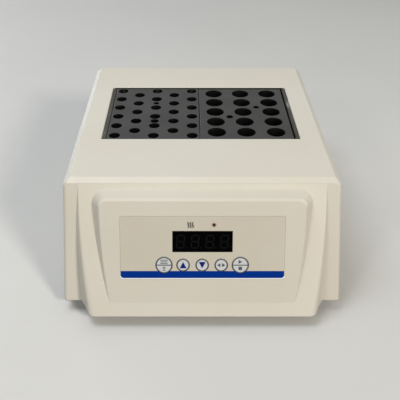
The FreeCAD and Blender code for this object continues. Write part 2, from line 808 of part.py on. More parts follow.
def make_pan():
    """The pan that closes the rim, with its vents and screw holes."""
    side = draft_half(PAN_Z) - WALL - PAN_GAP
    back = rear_y(PAN_Z) - WALL - PAN_GAP
    wing = front_y(PAN_Z) + WALL + 2 * PAN_GAP
    nose = wing - PAN_NOSE
    nose_half = WEDGE_HALF - 1
    right = [(nose_half, nose), (nose_half, wing), (side, wing), (side, back)]
    left = [(-x, y) for x, y in reversed(right)]
    pan = prism([(x, y, PAN_Z) for x, y in left + right], (0, 0, PAN_THICK))
    outer_corners = [edge for edge in edges_along(pan, (0, 0, 1))
                     if abs(edge.CenterOfMass.x) > nose_half + 1 or edge.CenterOfMass.y < wing - 1]
    pan = pan.makeFillet(PAN_CORNER_R, outer_corners)
    low, high = PAN_Z - 1, PAN_TOP + 1
    holes = upright_holes(FOOT_SCREW, FEET + [EARTH_STUD], low, high)
    holes += upright_holes(CASE_SCREW, BASE_BOSSES, low, high)
    holes += upright_holes(M3, CRADLE_FIXINGS + BOARD_STANDOFFS, low, high)
    for x in (-VENT_X, VENT_X):
        for row in range(VENTS):
            y = VENT_FRONT_Y + VENT_STEP * row
            vent = rounded_box(x - VENT_LONG / 2, x + VENT_LONG / 2, y - VENT_WIDE / 2, y + VENT_WIDE / 2,
                               low, high, VENT_WIDE / 2 - 0.01)
            holes.append(vent)
    return cut_all(pan, holes)


def make_base():
    """The pan, its screws, and the feet under it."""
    feet = []
    for x, y in FEET:
        foot = cone(FOOT_R, FOOT_R - FOOT_TAPER, (x, y, 0), (x, y, PAN_Z))
        foot = foot.cut(clear_hole(FOOT_SCREW, (x, y, 0), (x, y, PAN_Z)))
        feet.append(foot.cut(rod(FOOT_BORE_R, (x, y, 0), (x, y, FOOT_BORE_TALL))))
    nut_hole_r = FOOT_SCREW[2] + LOOSE
    return {
        "base_pan": make_pan(),
        "rubber_feet": group(feet),
        "foot_screws": upright_screws(FOOT_SCREW, FEET, FOOT_BORE_TALL, PAN_TOP + 4.5),
        "foot_nuts": group([nut(M4_NUT, nut_hole_r, (x, y, PAN_TOP), 2) for x, y in FEET]),
        "base_screws": upright_screws(CASE_SCREW, BASE_BOSSES, PAN_Z, PAN_TOP + 12),
    }


def tube_holes(rows, columns, pitch_x, pitch_y, centre_x, radius, staggered):
    """Tube holes on a grid. A staggered grid drops one hole from every second column."""
    holes = []
    for column in range(columns):
        count = rows - 1 if staggered and column % 2 else rows
        x = centre_x + (column - (columns - 1) / 2) * pitch_x
        for row in range(count):
            y = TUBE_MID_Y + (row - (count - 1) / 2) * pitch_y
            holes.append((x, y, radius))
    return holes


def make_block(centre_x, holes):
    wide = BLOCK_WIDE / 2
    block = box(centre_x - wide, centre_x + wide, BLOCK_FRONT_Y, BLOCK_FRONT_Y + BLOCK_DEEP,
                PLATE_TOP, BLOCK_TOP_Z)
    block = block.makeChamfer(BLOCK_EDGE, block.Edges)
    drills = [rod(r, (x, y, BLOCK_TOP_Z - TUBE_DEEP), (x, y, BLOCK_TOP_Z + 1)) for x, y, r in holes]
    return block.cut(group(drills))


def make_blocks():
    """A block with small staggered holes on the left and one with large holes on the right."""
    step = (BLOCK_GAP + BLOCK_WIDE) / 2
    left_x, right_x = BLOCK_SHIFT_X - step, BLOCK_SHIFT_X + step
    left = tube_holes(6, 5, SMALL_TUBE_PITCH_X, SMALL_TUBE_PITCH_Y, left_x, SMALL_TUBE_R, True)
    right = tube_holes(5, 3, BIG_TUBE_PITCH_X, BIG_TUBE_PITCH_Y, right_x, BIG_TUBE_R, False)
    for way, left_r, right_r in zip((1, -1), LEFT_GAUGE_R, RIGHT_GAUGE_R):
        aside, along = way * BIG_TUBE_PITCH_X / 2, way * BIG_TUBE_PITCH_Y / 2
        left.append((left_x, TUBE_MID_Y + way * SMALL_TUBE_PITCH_Y, left_r))
        right.append((right_x + aside, TUBE_MID_Y + along, right_r))
    return {"block_left": make_block(left_x, left), "block_right": make_block(right_x, right)}


def probe_rod(radius, y0, y1):
    return rod(radius, (PROBE_X, y0, PROBE_Z), (PROBE_X, y1, PROBE_Z))


def make_tray():
    """The sheet-metal tray: walls, a lip for the plate, a flange under the deck, and turned-out side rims."""
    outer = TRAY_HALF + SHEET
    low = PLATE_LOW - SHEET
    tray = box(-outer, outer, TRAY_FRONT - SHEET, TRAY_BACK + SHEET, low, DECK_LOW)
    tray = tray.fuse(box(-FLANGE_HALF, FLANGE_HALF, TRAY_FRONT - FLANGE_WIDE, TRAY_BACK + FLANGE_WIDE,
                         DECK_LOW - SHEET, DECK_LOW))
    cheek_y = (TRAY_FRONT + CHEEK_SHORT, TRAY_BACK - CHEEK_SHORT)
    tray = tray.fuse(box(-outer, outer, *cheek_y, DECK_LOW, CHEEK_TOP_Z))
    tray = tray.fuse(box(-CHEEK_HALF, CHEEK_HALF, *cheek_y, CHEEK_TOP_Z - SHEET, CHEEK_TOP_Z))
    tray = tray.cut(box(-TRAY_HALF, TRAY_HALF, TRAY_FRONT, TRAY_BACK, PLATE_LOW, TOP_Z))
    tray = tray.cut(box(LIP - TRAY_HALF, TRAY_HALF - LIP, TRAY_FRONT + LIP, TRAY_BACK - LIP, 0, TOP_Z))
    holes = upright_holes(M3, TRAY_FIXINGS, DECK_LOW - PAST, TOP_Z)
    holes += upright_holes(M3, PLATE_FIXINGS, low - 1, PLATE_LOW)
    holes.append(probe_rod(PROBE_SLEEVE_R, JACKET_FRONT - 1, TRAY_FRONT + 1))
    return cut_all(tray, holes).removeSplitter()


def make_heater():
    """The plate under the blocks, the heater mat and thermal cut-out on its underside, and its probe."""
    plate_half = TRAY_HALF - FREE
    front, back = TRAY_FRONT + FREE, TRAY_BACK - FREE
    plate = box(-plate_half, plate_half, front, back, PLATE_LOW, PLATE_TOP)
    plate = plate.cut(probe_rod(PROBE_R + LOOSE, front - 1, front + PROBE_DEEP + 1))
    plate = cut_all(plate, upright_holes(M3, PLATE_FIXINGS, PLATE_LOW, PLATE_LOW + PLATE_THREAD))

    edge = LIP + FREE
    mat = rounded_box(edge - TRAY_HALF, TRAY_HALF - edge, TRAY_FRONT + edge, TRAY_BACK - edge,
                      PLATE_LOW - MAT_THICK, PLATE_LOW, MAT_CORNER_R)
    mat = mat.cut(rod(CUTOUT_R + 1, (*CUTOUT_AT, PLATE_LOW - PAST), (*CUTOUT_AT, PLATE_TOP)))

    cap_low = PLATE_LOW - CUTOUT_CAP_TALL
    cutout = rod(CUTOUT_R, (*CUTOUT_AT, PLATE_LOW - CUTOUT_TALL), (*CUTOUT_AT, PLATE_LOW))
    cutout = cutout.fuse(rod(CUTOUT_CAP_R, (*CUTOUT_AT, cap_low), (*CUTOUT_AT, PLATE_LOW - CUTOUT_TALL)))
    x, y = CUTOUT_AT
    tab_thick, tab_wide, tab_apart = 0.8, 4.8, 6.0
    tabs = [box(tab_x - tab_thick / 2, tab_x + tab_thick / 2, y - tab_wide / 2, y + tab_wide / 2,
                PLATE_LOW - CUTOUT_TAB_TALL, cap_low + 0.5)
            for tab_x in (x - tab_apart / 2, x + tab_apart / 2)]

    probe = probe_rod(PROBE_R, PROBE_NUT_Y, front + PROBE_DEEP)
    collar = hexagon(PROBE_NUT, (PROBE_X, PROBE_NUT_Y - PROBE_NUT_THICK, PROBE_Z), 1, PROBE_NUT_THICK)
    screw_tip = PLATE_LOW + PLATE_THREAD - 0.5
    return {
        "heater_plate": plate,
        "plate_screws": upright_screws(M3, PLATE_FIXINGS, PLATE_LOW - SHEET, screw_tip),
        "heater_mat": mat,
        "thermal_cutout": fuse_all(cutout, tabs),
        "temperature_probe": fuse_all(probe, [collar]),
    }


def lead_holes():
    return [rod(2 * HEATER_LEAD_R, (x, HEATER_LEADS_Y, PAN_TOP), (x, HEATER_LEADS_Y, PLATE_LOW))
            for x in HEATER_LEADS_X]


def make_jacket():
    """Glass wool round the tray and under the heater."""
    half = JACKET_HALF + INSULATION
    front, back = JACKET_FRONT - INSULATION, JACKET_BACK + INSULATION_BACK
    jacket = rounded_box(-half, half, front, back, CRADLE_TOP_Z, INSULATION_TOP_Z, INSULATION_CORNER_R)
    jacket = jacket.cut(box(-JACKET_HALF, JACKET_HALF, JACKET_FRONT, JACKET_BACK,
                            INSULATION_FLOOR_Z, TOP_Z))
    jacket = jacket.cut(rod(CUTOUT_R + 2, (*CUTOUT_AT, CRADLE_TOP_Z + 1), (*CUTOUT_AT, INSULATION_FLOOR_Z)))
    jacket = jacket.cut(probe_rod(PROBE_SLEEVE_R, front - 1, JACKET_FRONT))
    return cut_all(jacket, lead_holes())


def make_cradle():
    """The folded sheet shelf that carries the jacket above the pan."""
    half = JACKET_HALF + INSULATION - CRADLE_SHORT
    front, back = JACKET_FRONT - CRADLE_PAST, JACKET_BACK + CRADLE_PAST
    cradle = box(-half, half, front, back, CRADLE_TOP_Z - SHEET, CRADLE_TOP_Z)
    for side in (-1, 1):
        leg = sorted((side * half, side * (half - SHEET)))
        sole = sorted((side * half, side * (half - CRADLE_TOE)))
        cradle = cradle.fuse(box(*leg, front, back, PAN_TOP, CRADLE_TOP_Z))
        cradle = cradle.fuse(box(*sole, front, back, PAN_TOP, PAN_TOP + SHEET))
    holes = lead_holes() + upright_holes(M3, CRADLE_FIXINGS, PAN_Z, PAN_TOP + PAST)
    return cut_all(cradle.removeSplitter(), holes)


def make_well():
    parts = {
        "well_tray": make_tray(),
        "tray_screws": upright_screws(M3, TRAY_FIXINGS, DECK_LOW - SHEET, TOP_Z - 1.2),
        "insulation_jacket": make_jacket(),
        "cradle": make_cradle(),
        "cradle_screws": upright_screws(M3, CRADLE_FIXINGS, PAN_Z, PAN_TOP + 4),
    }
    parts.update(make_heater())
    return parts


def digit_segments(x):
    """Seven bars of one figure, standing on the display module."""
    low = -(WINDOW_TOP_S + WINDOW_BOTTOM_S) / 2 - DIGIT_TALL / 2
    reach = (DIGIT_TALL - SEGMENT) / 2
    half_bar = DIGIT_WIDE / 2 - SEGMENT - SEGMENT_GAP + 0.05
    top = MODULE_FACE + SEGMENT_THICK
    bars = []
    for row in range(3):
        y = low + row * reach
        bars.append(box(x - half_bar, x + half_bar, y, y + SEGMENT, MODULE_FACE, top))
    for row in range(2):
        y = low + SEGMENT / 2 + row * reach
        for side in (-1, 1):
            middle = x + side * (DIGIT_WIDE - SEGMENT) / 2
            bars.append(box(middle - SEGMENT / 2, middle + SEGMENT / 2,
                            y + SEGMENT_GAP, y + reach - SEGMENT_GAP, MODULE_FACE, top))
    return bars


def make_overlay():
    """The printed film on the bezel face, with openings for the window, keys and lamps."""
    low, high = 0, FACE + PAST
    overlay = overlay_sheet(0, FACE - OVERLAY_SEAT, OVERLAY_FACE)
    cuts = [window_block(LOOSE, low, high), heat_block(LOOSE, low, high)]
    cuts.append(alarm_rod(ALARM_R + LOOSE, low, high))
    cuts += [key_rod(x, radius + KEY_GAP, low, high) for x, radius in KEYS.values()]
    return cut_all(overlay, cuts)


def make_key(x, radius):
    """A round key: a capped stem with a barb that snaps in behind the bezel wall."""
    top = FACE + KEY_PROUD
    cap = key_rod(x, radius, FACE - KEY_CAP_DEEP, top)
    crown = [edge for edge in cap.Edges if edge.Closed and abs(edge.CenterOfMass.z - top) < 0.01]
    cap = cap.makeFillet(KEY_CROWN_R, crown)
    stem = key_rod(x, KEY_STEM_R, FACE - KEY_STEM_DEEP, FACE - KEY_CAP_DEEP)
    inner_wall = FACE - WALL
    far, near = inner_wall - KEY_BARB_FAR, inner_wall - KEY_BARB_NEAR
    barb = cone(KEY_STEM_R, KEY_BARB_R, (x, -KEY_S, far), (x, -KEY_S, near))
    return fuse_all(cap, [stem, barb])


def make_key_switch(x):
    case = box(x - SWITCH_HALF, x + SWITCH_HALF, -KEY_S - SWITCH_HALF, SWITCH_HALF - KEY_S,
               BOARD_FACE, BOARD_FACE + SWITCH_TALL)
    plunger_top = FACE - KEY_STEM_DEEP - PLUNGER_PLAY
    return case.fuse(key_rod(x, PLUNGER_R, BOARD_FACE + SWITCH_TALL / 2, plunger_top))


def header_block(y, low):
    return box(-HEADER_HALF, HEADER_HALF, y - HEADER_WIDE / 2, y + HEADER_WIDE / 2, low, low + HEADER_TALL)


def make_panel():
    """The overlay, window, lamps and keys, with the display board behind them."""
    module = box(-MODULE_HALF, MODULE_HALF, MODULE_INSET - WINDOW_BOTTOM_S, -WINDOW_TOP_S - MODULE_INSET,
                 BOARD_FACE, MODULE_FACE)
    segments = []
    for digit in range(DIGITS):
        segments += digit_segments((digit - (DIGITS - 1) / 2) * DIGIT_PITCH)
    board = rounded_box(-BOARD_HALF, BOARD_HALF, -BOARD_LOW_S, -BOARD_TOP_S,
                        BOARD_BACK, BOARD_FACE, BOARD_CORNER_R)
    post_places = [(x, -s) for x, s in BOARD_POSTS]
    collar = alarm_rod(ALARM_COLLAR_R, BOARD_FACE, BOARD_FACE + ALARM_COLLAR_TALL)
    parts = {
        "panel_overlay": make_overlay(),
        "display_window": window_block(0, FACE - WINDOW_DEEP, OVERLAY_FACE),
        "display_module": module,
        "display_segments": group(segments),
        "display_board": cut_all(board, upright_holes(M2, post_places, BOARD_BACK - 1, BOARD_FACE + 1)),
        "display_board_screws": upright_screws(M2, post_places, BOARD_BACK, BOARD_FACE + 5),
        "key_switches": group([make_key_switch(x) for x, radius in KEYS.values()]),
        "alarm_lamp": fuse_all(alarm_rod(ALARM_R, BOARD_FACE, OVERLAY_FACE), [collar]),
        "heat_lamp": heat_block(0, BOARD_FACE, OVERLAY_FACE),
        "display_header": header_block(-HEADER_S, BOARD_BACK - HEADER_TALL),
    }
    for name, (x, radius) in KEYS.items():
        parts[name] = make_key(x, radius)
    return {name: on_panel(shape) for name, shape in parts.items()}


def make_ribbon():
    """The flat cable from the display board down to the control board, and the header that takes it."""
    start = panel_point(0, HEADER_S, BOARD_BACK - HEADER_TALL)
    outward = panel_point(0, HEADER_S, BOARD_BACK - 2 * HEADER_TALL) - start
    knee = start + outward * ((CONTROL_HEADER_Y - start.y) / outward.y)
    header_top = CONTROL_TOP + HEADER_TALL
    path = bent_path([start, knee, V(0, CONTROL_HEADER_Y, header_top)], RIBBON_BEND)
    across = V(0, -outward.z, outward.y).normalize() * (RIBBON_THICK / 2)
    side = V(RIBBON_HALF, 0, 0)
    corners = [start - side - across, start + side - across, start + side + across, start - side + across]
    profile = Part.makePolygon(corners + corners[:1])
    return {
        "ribbon_cable": path.makePipeShell([profile], True, False),
        "control_header": header_block(CONTROL_HEADER_Y, CONTROL_TOP),
    }


def on_board(footprint, low, high):
    """A block on the control board between two heights above it."""
    return box(*footprint, CONTROL_TOP + low, CONTROL_TOP + high)


def make_heat_sink():
    pitch = (SINK_X[1] - SINK_X[0] - SINK_FIN) / (SINK_FINS - 1)
    back_y, fin_y, front_y_end = SINK_Y
    fins = []
    for fin in range(SINK_FINS):
        x = SINK_X[0] + pitch * fin
        fins.append(on_board((x, x + SINK_FIN, fin_y, front_y_end), 0, SINK_TALL))
    return fuse_all(on_board((*SINK_X, back_y, fin_y), 0, SINK_TALL), fins)


def make_triac():
    middle = (TRIAC[0] + TRIAC[1]) / 2
    half_pin = 0.4
    pins = []
    for step in (-1, 0, 1):
        x = middle + step * TRIAC_PIN_PITCH
        pins.append(on_board((x - half_pin, x + half_pin, *TRIAC_PIN_Y), 0, TRIAC_LOW))
    return fuse_all(on_board(TRIAC, TRIAC_LOW, TRIAC_HIGH), pins)


def make_capacitors():
    cans = []
    for x, y, radius, tall in CANS:
        can = rod(radius, (x, y, CONTROL_TOP), (x, y, CONTROL_TOP + tall))
        cans.append(can.makeFillet(CAN_EDGE_R, [edge for edge in can.Edges if edge.Closed]))
    return group(cans)


def make_terminal_block():
    """The screw terminals that take the mains and heater wires."""
    body = on_board(TERMINAL_BODY, 0, TERMINAL_TALL)
    front, back = TERMINAL_BODY[2:]
    screw_y = front + 2
    above = CONTROL_TOP + TERMINAL_TALL + 1
    for x, y, z in TERMINALS:
        body = body.cut(rod(TERMINAL_SCREW_R, (x, screw_y, z + 3), (x, screw_y, above)))
        body = body.cut(rod(TERMINAL_WIRE_R, (x, back - 4, z), (x, back + 1, z)))
    return body


def make_control():
    """The control board on its standoffs, with the parts that it carries."""
    board = rounded_box(-CONTROL_HALF, CONTROL_HALF, CONTROL_FRONT_Y, CONTROL_BACK_Y,
                        CONTROL_Z, CONTROL_TOP, BOARD_CORNER_R)
    standoffs = []
    for x, y in BOARD_STANDOFFS:
        post = hexagon(STANDOFF_FLATS, (x, y, PAN_TOP), 2, CONTROL_Z - PAN_TOP)
        standoffs.append(post.cut(clear_hole(M3, (x, y, PAN_TOP), (x, y, CONTROL_Z))))
    bobbin = on_board(BOBBIN, BOBBIN_LOW, BOBBIN_HIGH)
    bobbin = bobbin.makeFillet(3.0, edges_along(bobbin, (0, 0, 1)))
    relay = on_board(RELAY, 0, RELAY_TALL)
    parts = {
        "control_board": cut_all(board, upright_holes(M3, BOARD_STANDOFFS, CONTROL_Z - 1, CONTROL_TOP + 1)),
        "board_standoffs": group(standoffs),
        "board_screws": upright_screws(M3, BOARD_STANDOFFS, CONTROL_TOP, PAN_Z + 0.5),
        "transformer": fuse_all(on_board(CORE, 0, CORE_TALL), [bobbin]),
        "relay": relay.makeFillet(CAN_EDGE_R, edges_along(relay, (0, 0, 1))),
        "heat_sink": make_heat_sink(),
        "triac": make_triac(),
        "capacitors": make_capacitors(),
        "terminal_block": make_terminal_block(),
        "controller_chip": on_board(CHIP, 0, CHIP_TALL),
    }
    parts.update(make_ribbon())
    return parts


def pin_blade(x, z):
    return box(x - PIN_HALF_WIDE, x + PIN_HALF_WIDE, INLET_BACK_Y, PIN_TIP_Y,
               z - PIN_HALF_TALL, z + PIN_HALF_TALL)


def make_pin(x, z):
    """A contact: a rounded blade in the socket and a solder tab behind the inlet."""
    blade = pin_blade(x, z)
    tip = [edge for edge in blade.Edges if edge.CenterOfMass.y > PIN_TIP_Y - 0.1]
    blade = blade.makeFillet(PIN_TIP_R, tip)
    tab = box(x - TAB_HALF_THICK, x + TAB_HALF_THICK, TAB_END_Y, INLET_BACK_Y,
              z - TAB_HALF_TALL, z + TAB_HALF_TALL)
    return fuse_all(blade, [tab])


def drawer_block(grow, y0, y1):
    wide, tall = DRAWER_HALF_WIDE + grow, DRAWER_HALF_TALL + grow
    return box(INLET_X - wide, INLET_X + wide, y0, y1, DRAWER_Z - tall, DRAWER_Z + tall)


def make_inlet_body():
    """The inlet's moulding: flange, socket with two cut corners, drawer slot and pin seats."""
    body = box(INLET_X - INLET_HALF_WIDE, INLET_X + INLET_HALF_WIDE, INLET_BACK_Y, REAR_PANEL_Y,
               INLET_Z - INLET_HALF_TALL, INLET_Z + INLET_HALF_TALL)
    flange = rounded_plate(INLET_X, INLET_Z, INLET_FLANGE_HALF, INLET_FLANGE_TALL,
                           REAR_PANEL_Y, INLET_FRONT_Y, INLET_FLANGE_R)
    left, right = INLET_X - SOCKET_HALF_WIDE, INLET_X + SOCKET_HALF_WIDE
    low, high = SOCKET_Z - SOCKET_HALF_TALL, SOCKET_Z + SOCKET_HALF_TALL
    mouth = [(left, low + SOCKET_CORNER), (left + SOCKET_CORNER, low), (right - SOCKET_CORNER, low),
             (right, low + SOCKET_CORNER), (right, high), (left, high)]
    socket = prism([(x, SOCKET_FLOOR_Y, z) for x, z in mouth], (0, THROUGH, 0))
    cuts = [socket, drawer_block(FREE, INLET_BACK_Y + DRAWER_BACK, INLET_FRONT_Y + PAST)]
    cuts += [clear_hole(M3, (x, INLET_BACK_Y, INLET_Z), (x, INLET_FRONT_Y + 1, INLET_Z))
             for x in INLET_FIXINGS]
    cuts += [pin_blade(x, z) for x, z in PIN_TABS.values()]
    return cut_all(body.fuse(flange), cuts).removeSplitter()


def make_drawer():
    """The fuse drawer and the two fuses that slide out with it."""
    back = INLET_BACK_Y + DRAWER_BACK
    front = INLET_FRONT_Y + DRAWER_PROUD
    drawer = drawer_block(0, back + FREE, front)
    fuse_back = back + FREE + 0.9
    fuse_front = fuse_back + FUSE_LONG
    pocket = FUSE_CAP_R + LOOSE
    fuses = []
    for x in (INLET_X - FUSE_X, INLET_X + FUSE_X):
        drawer = drawer.cut(box(x - pocket, x + pocket, fuse_back - FREE, fuse_front + FREE,
                                DRAWER_Z - pocket, DRAWER_Z + PAST))
        glass = rod(FUSE_GLASS_R, (x, fuse_back + 1, DRAWER_Z), (x, fuse_front - 1, DRAWER_Z))
        caps = [rod(FUSE_CAP_R, (x, start, DRAWER_Z), (x, start + FUSE_CAP_LONG, DRAWER_Z))
                for start in (fuse_back, fuse_front - FUSE_CAP_LONG)]
        fuses.append(fuse_all(glass, caps))
    grip_y = front + DRAWER_GRIP_R / 2
    grip = rod(DRAWER_GRIP_R, (INLET_X, grip_y, DRAWER_Z - 10), (INLET_X, grip_y, DRAWER_Z - 1))
    return {"fuse_drawer": drawer.cut(grip), "fuses": group(fuses)}


def make_inlet():
    """The mains inlet with its pins, fuse drawer and fuses, held in the rear recess."""
    inner_wall = REAR_PANEL_Y - WALL
    nut_y = inner_wall - M3_NUT[1]
    parts = {
        "power_inlet": make_inlet_body(),
        "inlet_pins": group([make_pin(x, z) for x, z in PIN_TABS.values()]),
        "inlet_screws": group([screw(M3, (x, INLET_FRONT_Y, INLET_Z), (x, nut_y - 1.2, INLET_Z))
                               for x in INLET_FIXINGS]),
        "inlet_nuts": group([nut(M3_NUT, M3[2] + LOOSE, (x, nut_y, INLET_Z), 1) for x in INLET_FIXINGS]),
    }
    parts.update(make_drawer())
    return parts


def rocker_pin(radius, half):
    ends = [(ROCKER_X + reach, ROCKER_PIVOT_Y, ROCKER_Z) for reach in (-half, half)]
    return rod(radius, *ends)


def make_rocker_paddle():
    """The paddle with its pivot pin, tipped to its off position."""
    shoulder, heel = ROCKER_SHOULDER, -ROCKER_HEEL
    lip = ROCKER_VALLEY + ROCKER_RISE
    upper = [(lip, ROCKER_HALF_LONG), (shoulder, ROCKER_HALF_LONG), (heel, ROCKER_HEEL_HALF)]
    lower = [(y, -z) for y, z in reversed(upper)]
    profile = lower + [(ROCKER_VALLEY, 0)] + upper
    outline = [(ROCKER_X - ROCKER_HALF_WIDE, ROCKER_PIVOT_Y + y, ROCKER_Z + z) for y, z in profile]
    paddle = prism(outline, (2 * ROCKER_HALF_WIDE, 0, 0))
    paddle = paddle.makeFillet(ROCKER_EDGE_R, edges_along(paddle, (1, 0, 0)))
    paddle = fuse_all(paddle, [rocker_pin(ROCKER_PIN_R, ROCKER_PIN_HALF)])
    paddle.rotate(V(ROCKER_X, ROCKER_PIVOT_Y, ROCKER_Z), V(1, 0, 0), ROCKER_TILT)
    return paddle


def make_rocker():
    """The mains rocker in its snap-in frame."""
    frame = box(ROCKER_X - ROCKER_FRAME_WIDE, ROCKER_X + ROCKER_FRAME_WIDE, ROCKER_BACK_Y, REAR_PANEL_Y,
                ROCKER_Z - ROCKER_FRAME_TALL, ROCKER_Z + ROCKER_FRAME_TALL)
    rim = rounded_plate(ROCKER_X, ROCKER_Z, ROCKER_RIM_WIDE, ROCKER_RIM_TALL, REAR_PANEL_Y,
                        REAR_PANEL_Y + ROCKER_RIM_THICK, OVERLAY_R)
    mouth = box(ROCKER_X - ROCKER_MOUTH_WIDE, ROCKER_X + ROCKER_MOUTH_WIDE,
                ROCKER_PIVOT_Y - ROCKER_MOUTH_DEEP, FAR,
                ROCKER_Z - ROCKER_MOUTH_TALL, ROCKER_Z + ROCKER_MOUTH_TALL)
    pin_hole = rocker_pin(ROCKER_PIN_R + ROCKER_PIN_PLAY, ROCKER_FRAME_WIDE)
    tabs = [box(ROCKER_X - ROCKER_TAB_HALF, ROCKER_X + ROCKER_TAB_HALF, TAB_END_Y, ROCKER_BACK_Y,
                z - TAB_HALF_THICK, z + TAB_HALF_THICK) for z in ROCKER_TABS_Z]
    return {
        "rocker_frame": cut_all(frame.fuse(rim), [mouth, pin_hole]).removeSplitter(),
        "rocker_terminals": group(tabs),
        "power_rocker": make_rocker_paddle(),
    }


def lane_wire(start_x, start_z, lane_z, terminal):
    """A mains wire: up from its tab, round the well at the left, and down to its terminal."""
    x, y, z = terminal
    turn_y = TAB_END_Y - WIRE_LEAD
    return wire([(start_x, TAB_END_Y, start_z), (start_x, turn_y, start_z), (start_x, turn_y, lane_z),
                 (LANE_X, turn_y, lane_z), (LANE_X, LANE_Y, lane_z), (x, LANE_Y, lane_z), (x, LANE_Y, z),
                 terminal], WIRE_R, WIRE_BEND)


def make_mains_wires():
    """Live to the rocker, then switched live and neutral to the board."""
    low_tab, high_tab = ROCKER_TABS_Z
    turn_y = TAB_END_Y - WIRE_LEAD
    live_x, live_z = PIN_TABS["live"]
    live = wire([(live_x, TAB_END_Y, live_z), (live_x, turn_y, live_z), (ROCKER_X - 6, turn_y, low_tab),
                 (ROCKER_X, turn_y, low_tab), (ROCKER_X, TAB_END_Y, low_tab)], WIRE_R, WIRE_BEND)
    switched = lane_wire(ROCKER_X, high_tab, SWITCHED_LANE_Z, TERMINALS[0])
    neutral = lane_wire(*PIN_TABS["neutral"], NEUTRAL_LANE_Z, TERMINALS[1])
    return group([live, switched, neutral])


def make_earth():
    """The earth wire from the inlet to a stud on the pan."""
    x, y = EARTH_STUD
    pin_x, pin_z = PIN_TABS["earth"]
    turn_y = TAB_END_Y - WIRE_LEAD
    top = PAN_TOP + EARTH_STUD_TALL
    over = top + 6
    earth = wire([(pin_x, TAB_END_Y, pin_z), (pin_x, turn_y, pin_z), (pin_x - 10, turn_y, over),
                  (x, turn_y, over), (x, y, over), (x, y, top)], WIRE_R, 2.0)
    stud = rod(FOOT_SCREW[2], (x, y, PAN_Z), (x, y, top))
    across_flats, thick = M4_NUT
    head = rod(3.6, (x, y, PAN_Z - 1.6), (x, y, PAN_Z))
    return {
        "earth_wire": earth,
        "earth_stud": fuse_all(stud, [hexagon(across_flats, (x, y, PAN_TOP), 2, thick), head]),
    }


def make_wiring():
    """Wires from the inlet to the board, from the board to the heater and from the probe."""
    heater = []
    for x, terminal, turn_y in zip(HEATER_LEADS_X, TERMINALS[2:], (-34.4, -32.0)):
        end_x, end_y, end_z = terminal
        route = [(x, HEATER_LEADS_Y, PLATE_LOW - MAT_THICK), (x, HEATER_LEADS_Y, HEATER_LANE_Z),
                 (x, turn_y, HEATER_LANE_Z), (end_x, turn_y, HEATER_LANE_Z), (end_x, turn_y, end_z),
                 terminal]
        heater.append(wire(route, HEATER_LEAD_R, 1.6))
    start_y = PROBE_NUT_Y - PROBE_NUT_THICK
    drop_y = start_y - 14
    probe = wire([(PROBE_X, start_y, PROBE_Z), (PROBE_X, drop_y, PROBE_Z),
                  (PROBE_X, drop_y, CONTROL_TOP + CHIP_TALL)], PROBE_LEAD_R, PROBE_LEAD_BEND)
    parts = {"mains_wires": make_mains_wires(), "heater_leads": group(heater), "probe_lead": probe}
    parts.update(make_earth())
    return parts


def main():
    parts = {"housing": make_housing()}
    for make in (make_base, make_well, make_blocks, make_panel,
                 make_control, make_inlet, make_rocker, make_wiring):
        parts.update(make())
    os.makedirs("parts", exist_ok=True)
    for name, shape in parts.items():
        shape.exportStep(f"parts/{name}.step")
        low, high = shape.BoundBox.ZMin, shape.BoundBox.ZMax
        print(f"{name:22s} valid {shape.isValid()} solids {len(shape.Solids):3d} "
              f"volume {shape.Volume:10.1f} mm3  z {low:6.2f} to {high:6.2f}")
    print(len(parts), "nodes")


main()
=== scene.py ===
"""The looks of a two-block dry block heater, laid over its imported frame.

Lengths are in metres. Prints on the sloped front panel are laid out in the panel's own axes:
x to the right, y up the slope and z straight out of the panel.
"""
import json
import math

import bmesh
import bpy
from mathutils import Matrix, Vector


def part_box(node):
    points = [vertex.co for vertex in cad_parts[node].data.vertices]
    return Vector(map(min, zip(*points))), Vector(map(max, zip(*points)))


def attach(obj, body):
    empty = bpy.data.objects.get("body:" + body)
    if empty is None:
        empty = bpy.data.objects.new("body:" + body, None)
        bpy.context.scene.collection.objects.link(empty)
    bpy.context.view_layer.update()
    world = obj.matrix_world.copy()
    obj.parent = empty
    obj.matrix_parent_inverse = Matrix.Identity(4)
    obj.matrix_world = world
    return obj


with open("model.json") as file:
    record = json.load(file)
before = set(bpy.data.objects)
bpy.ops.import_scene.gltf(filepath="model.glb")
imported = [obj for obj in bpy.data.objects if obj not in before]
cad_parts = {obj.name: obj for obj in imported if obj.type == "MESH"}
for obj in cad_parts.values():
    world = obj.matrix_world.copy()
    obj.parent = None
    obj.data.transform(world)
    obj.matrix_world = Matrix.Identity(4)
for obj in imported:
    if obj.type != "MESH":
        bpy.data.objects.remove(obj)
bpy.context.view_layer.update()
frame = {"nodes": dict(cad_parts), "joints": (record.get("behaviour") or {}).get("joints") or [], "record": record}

MM = 0.001

# Camera, as it stood for the photograph
CAMERA_PLACE = (-0.0108, -0.45115, 0.3327)
CAMERA_PITCH_DOWN = 34.56
CAMERA_LENS = 54.84
CAMERA_SENSOR = 36.0
CAMERA_SHIFT_X = 0.03125

# Floor and lights
FLOOR_SIZE = 4.0
SKY_STRENGTH = 0.285
SKY_TINT = (0.99, 1.0, 1.0)
MIRRORED_SKY = 0.65
COOL = (0.94, 1.0, 1.06)
WARM = (1.0, 0.945, 0.85)
CEILING_LIGHT = {"place": (-0.35, -0.02, 1.05), "size": 0.5, "watts": 4.2, "tint": COOL}
LEFT_LIGHT = {"place": (-1.05, -1.30, 1.08), "size": 0.35, "watts": 5.0, "tint": WARM}
RIGHT_LIGHT = {"place": (1.05, -1.40, 1.10), "size": 0.35, "watts": 21.4, "tint": WARM}
BACK_LIGHT = {"place": (-1.10, 1.50, 0.45), "size": 0.8, "watts": 8.0, "tint": COOL}
LIGHT_AIM = (0.0, 0.0, 0.05)

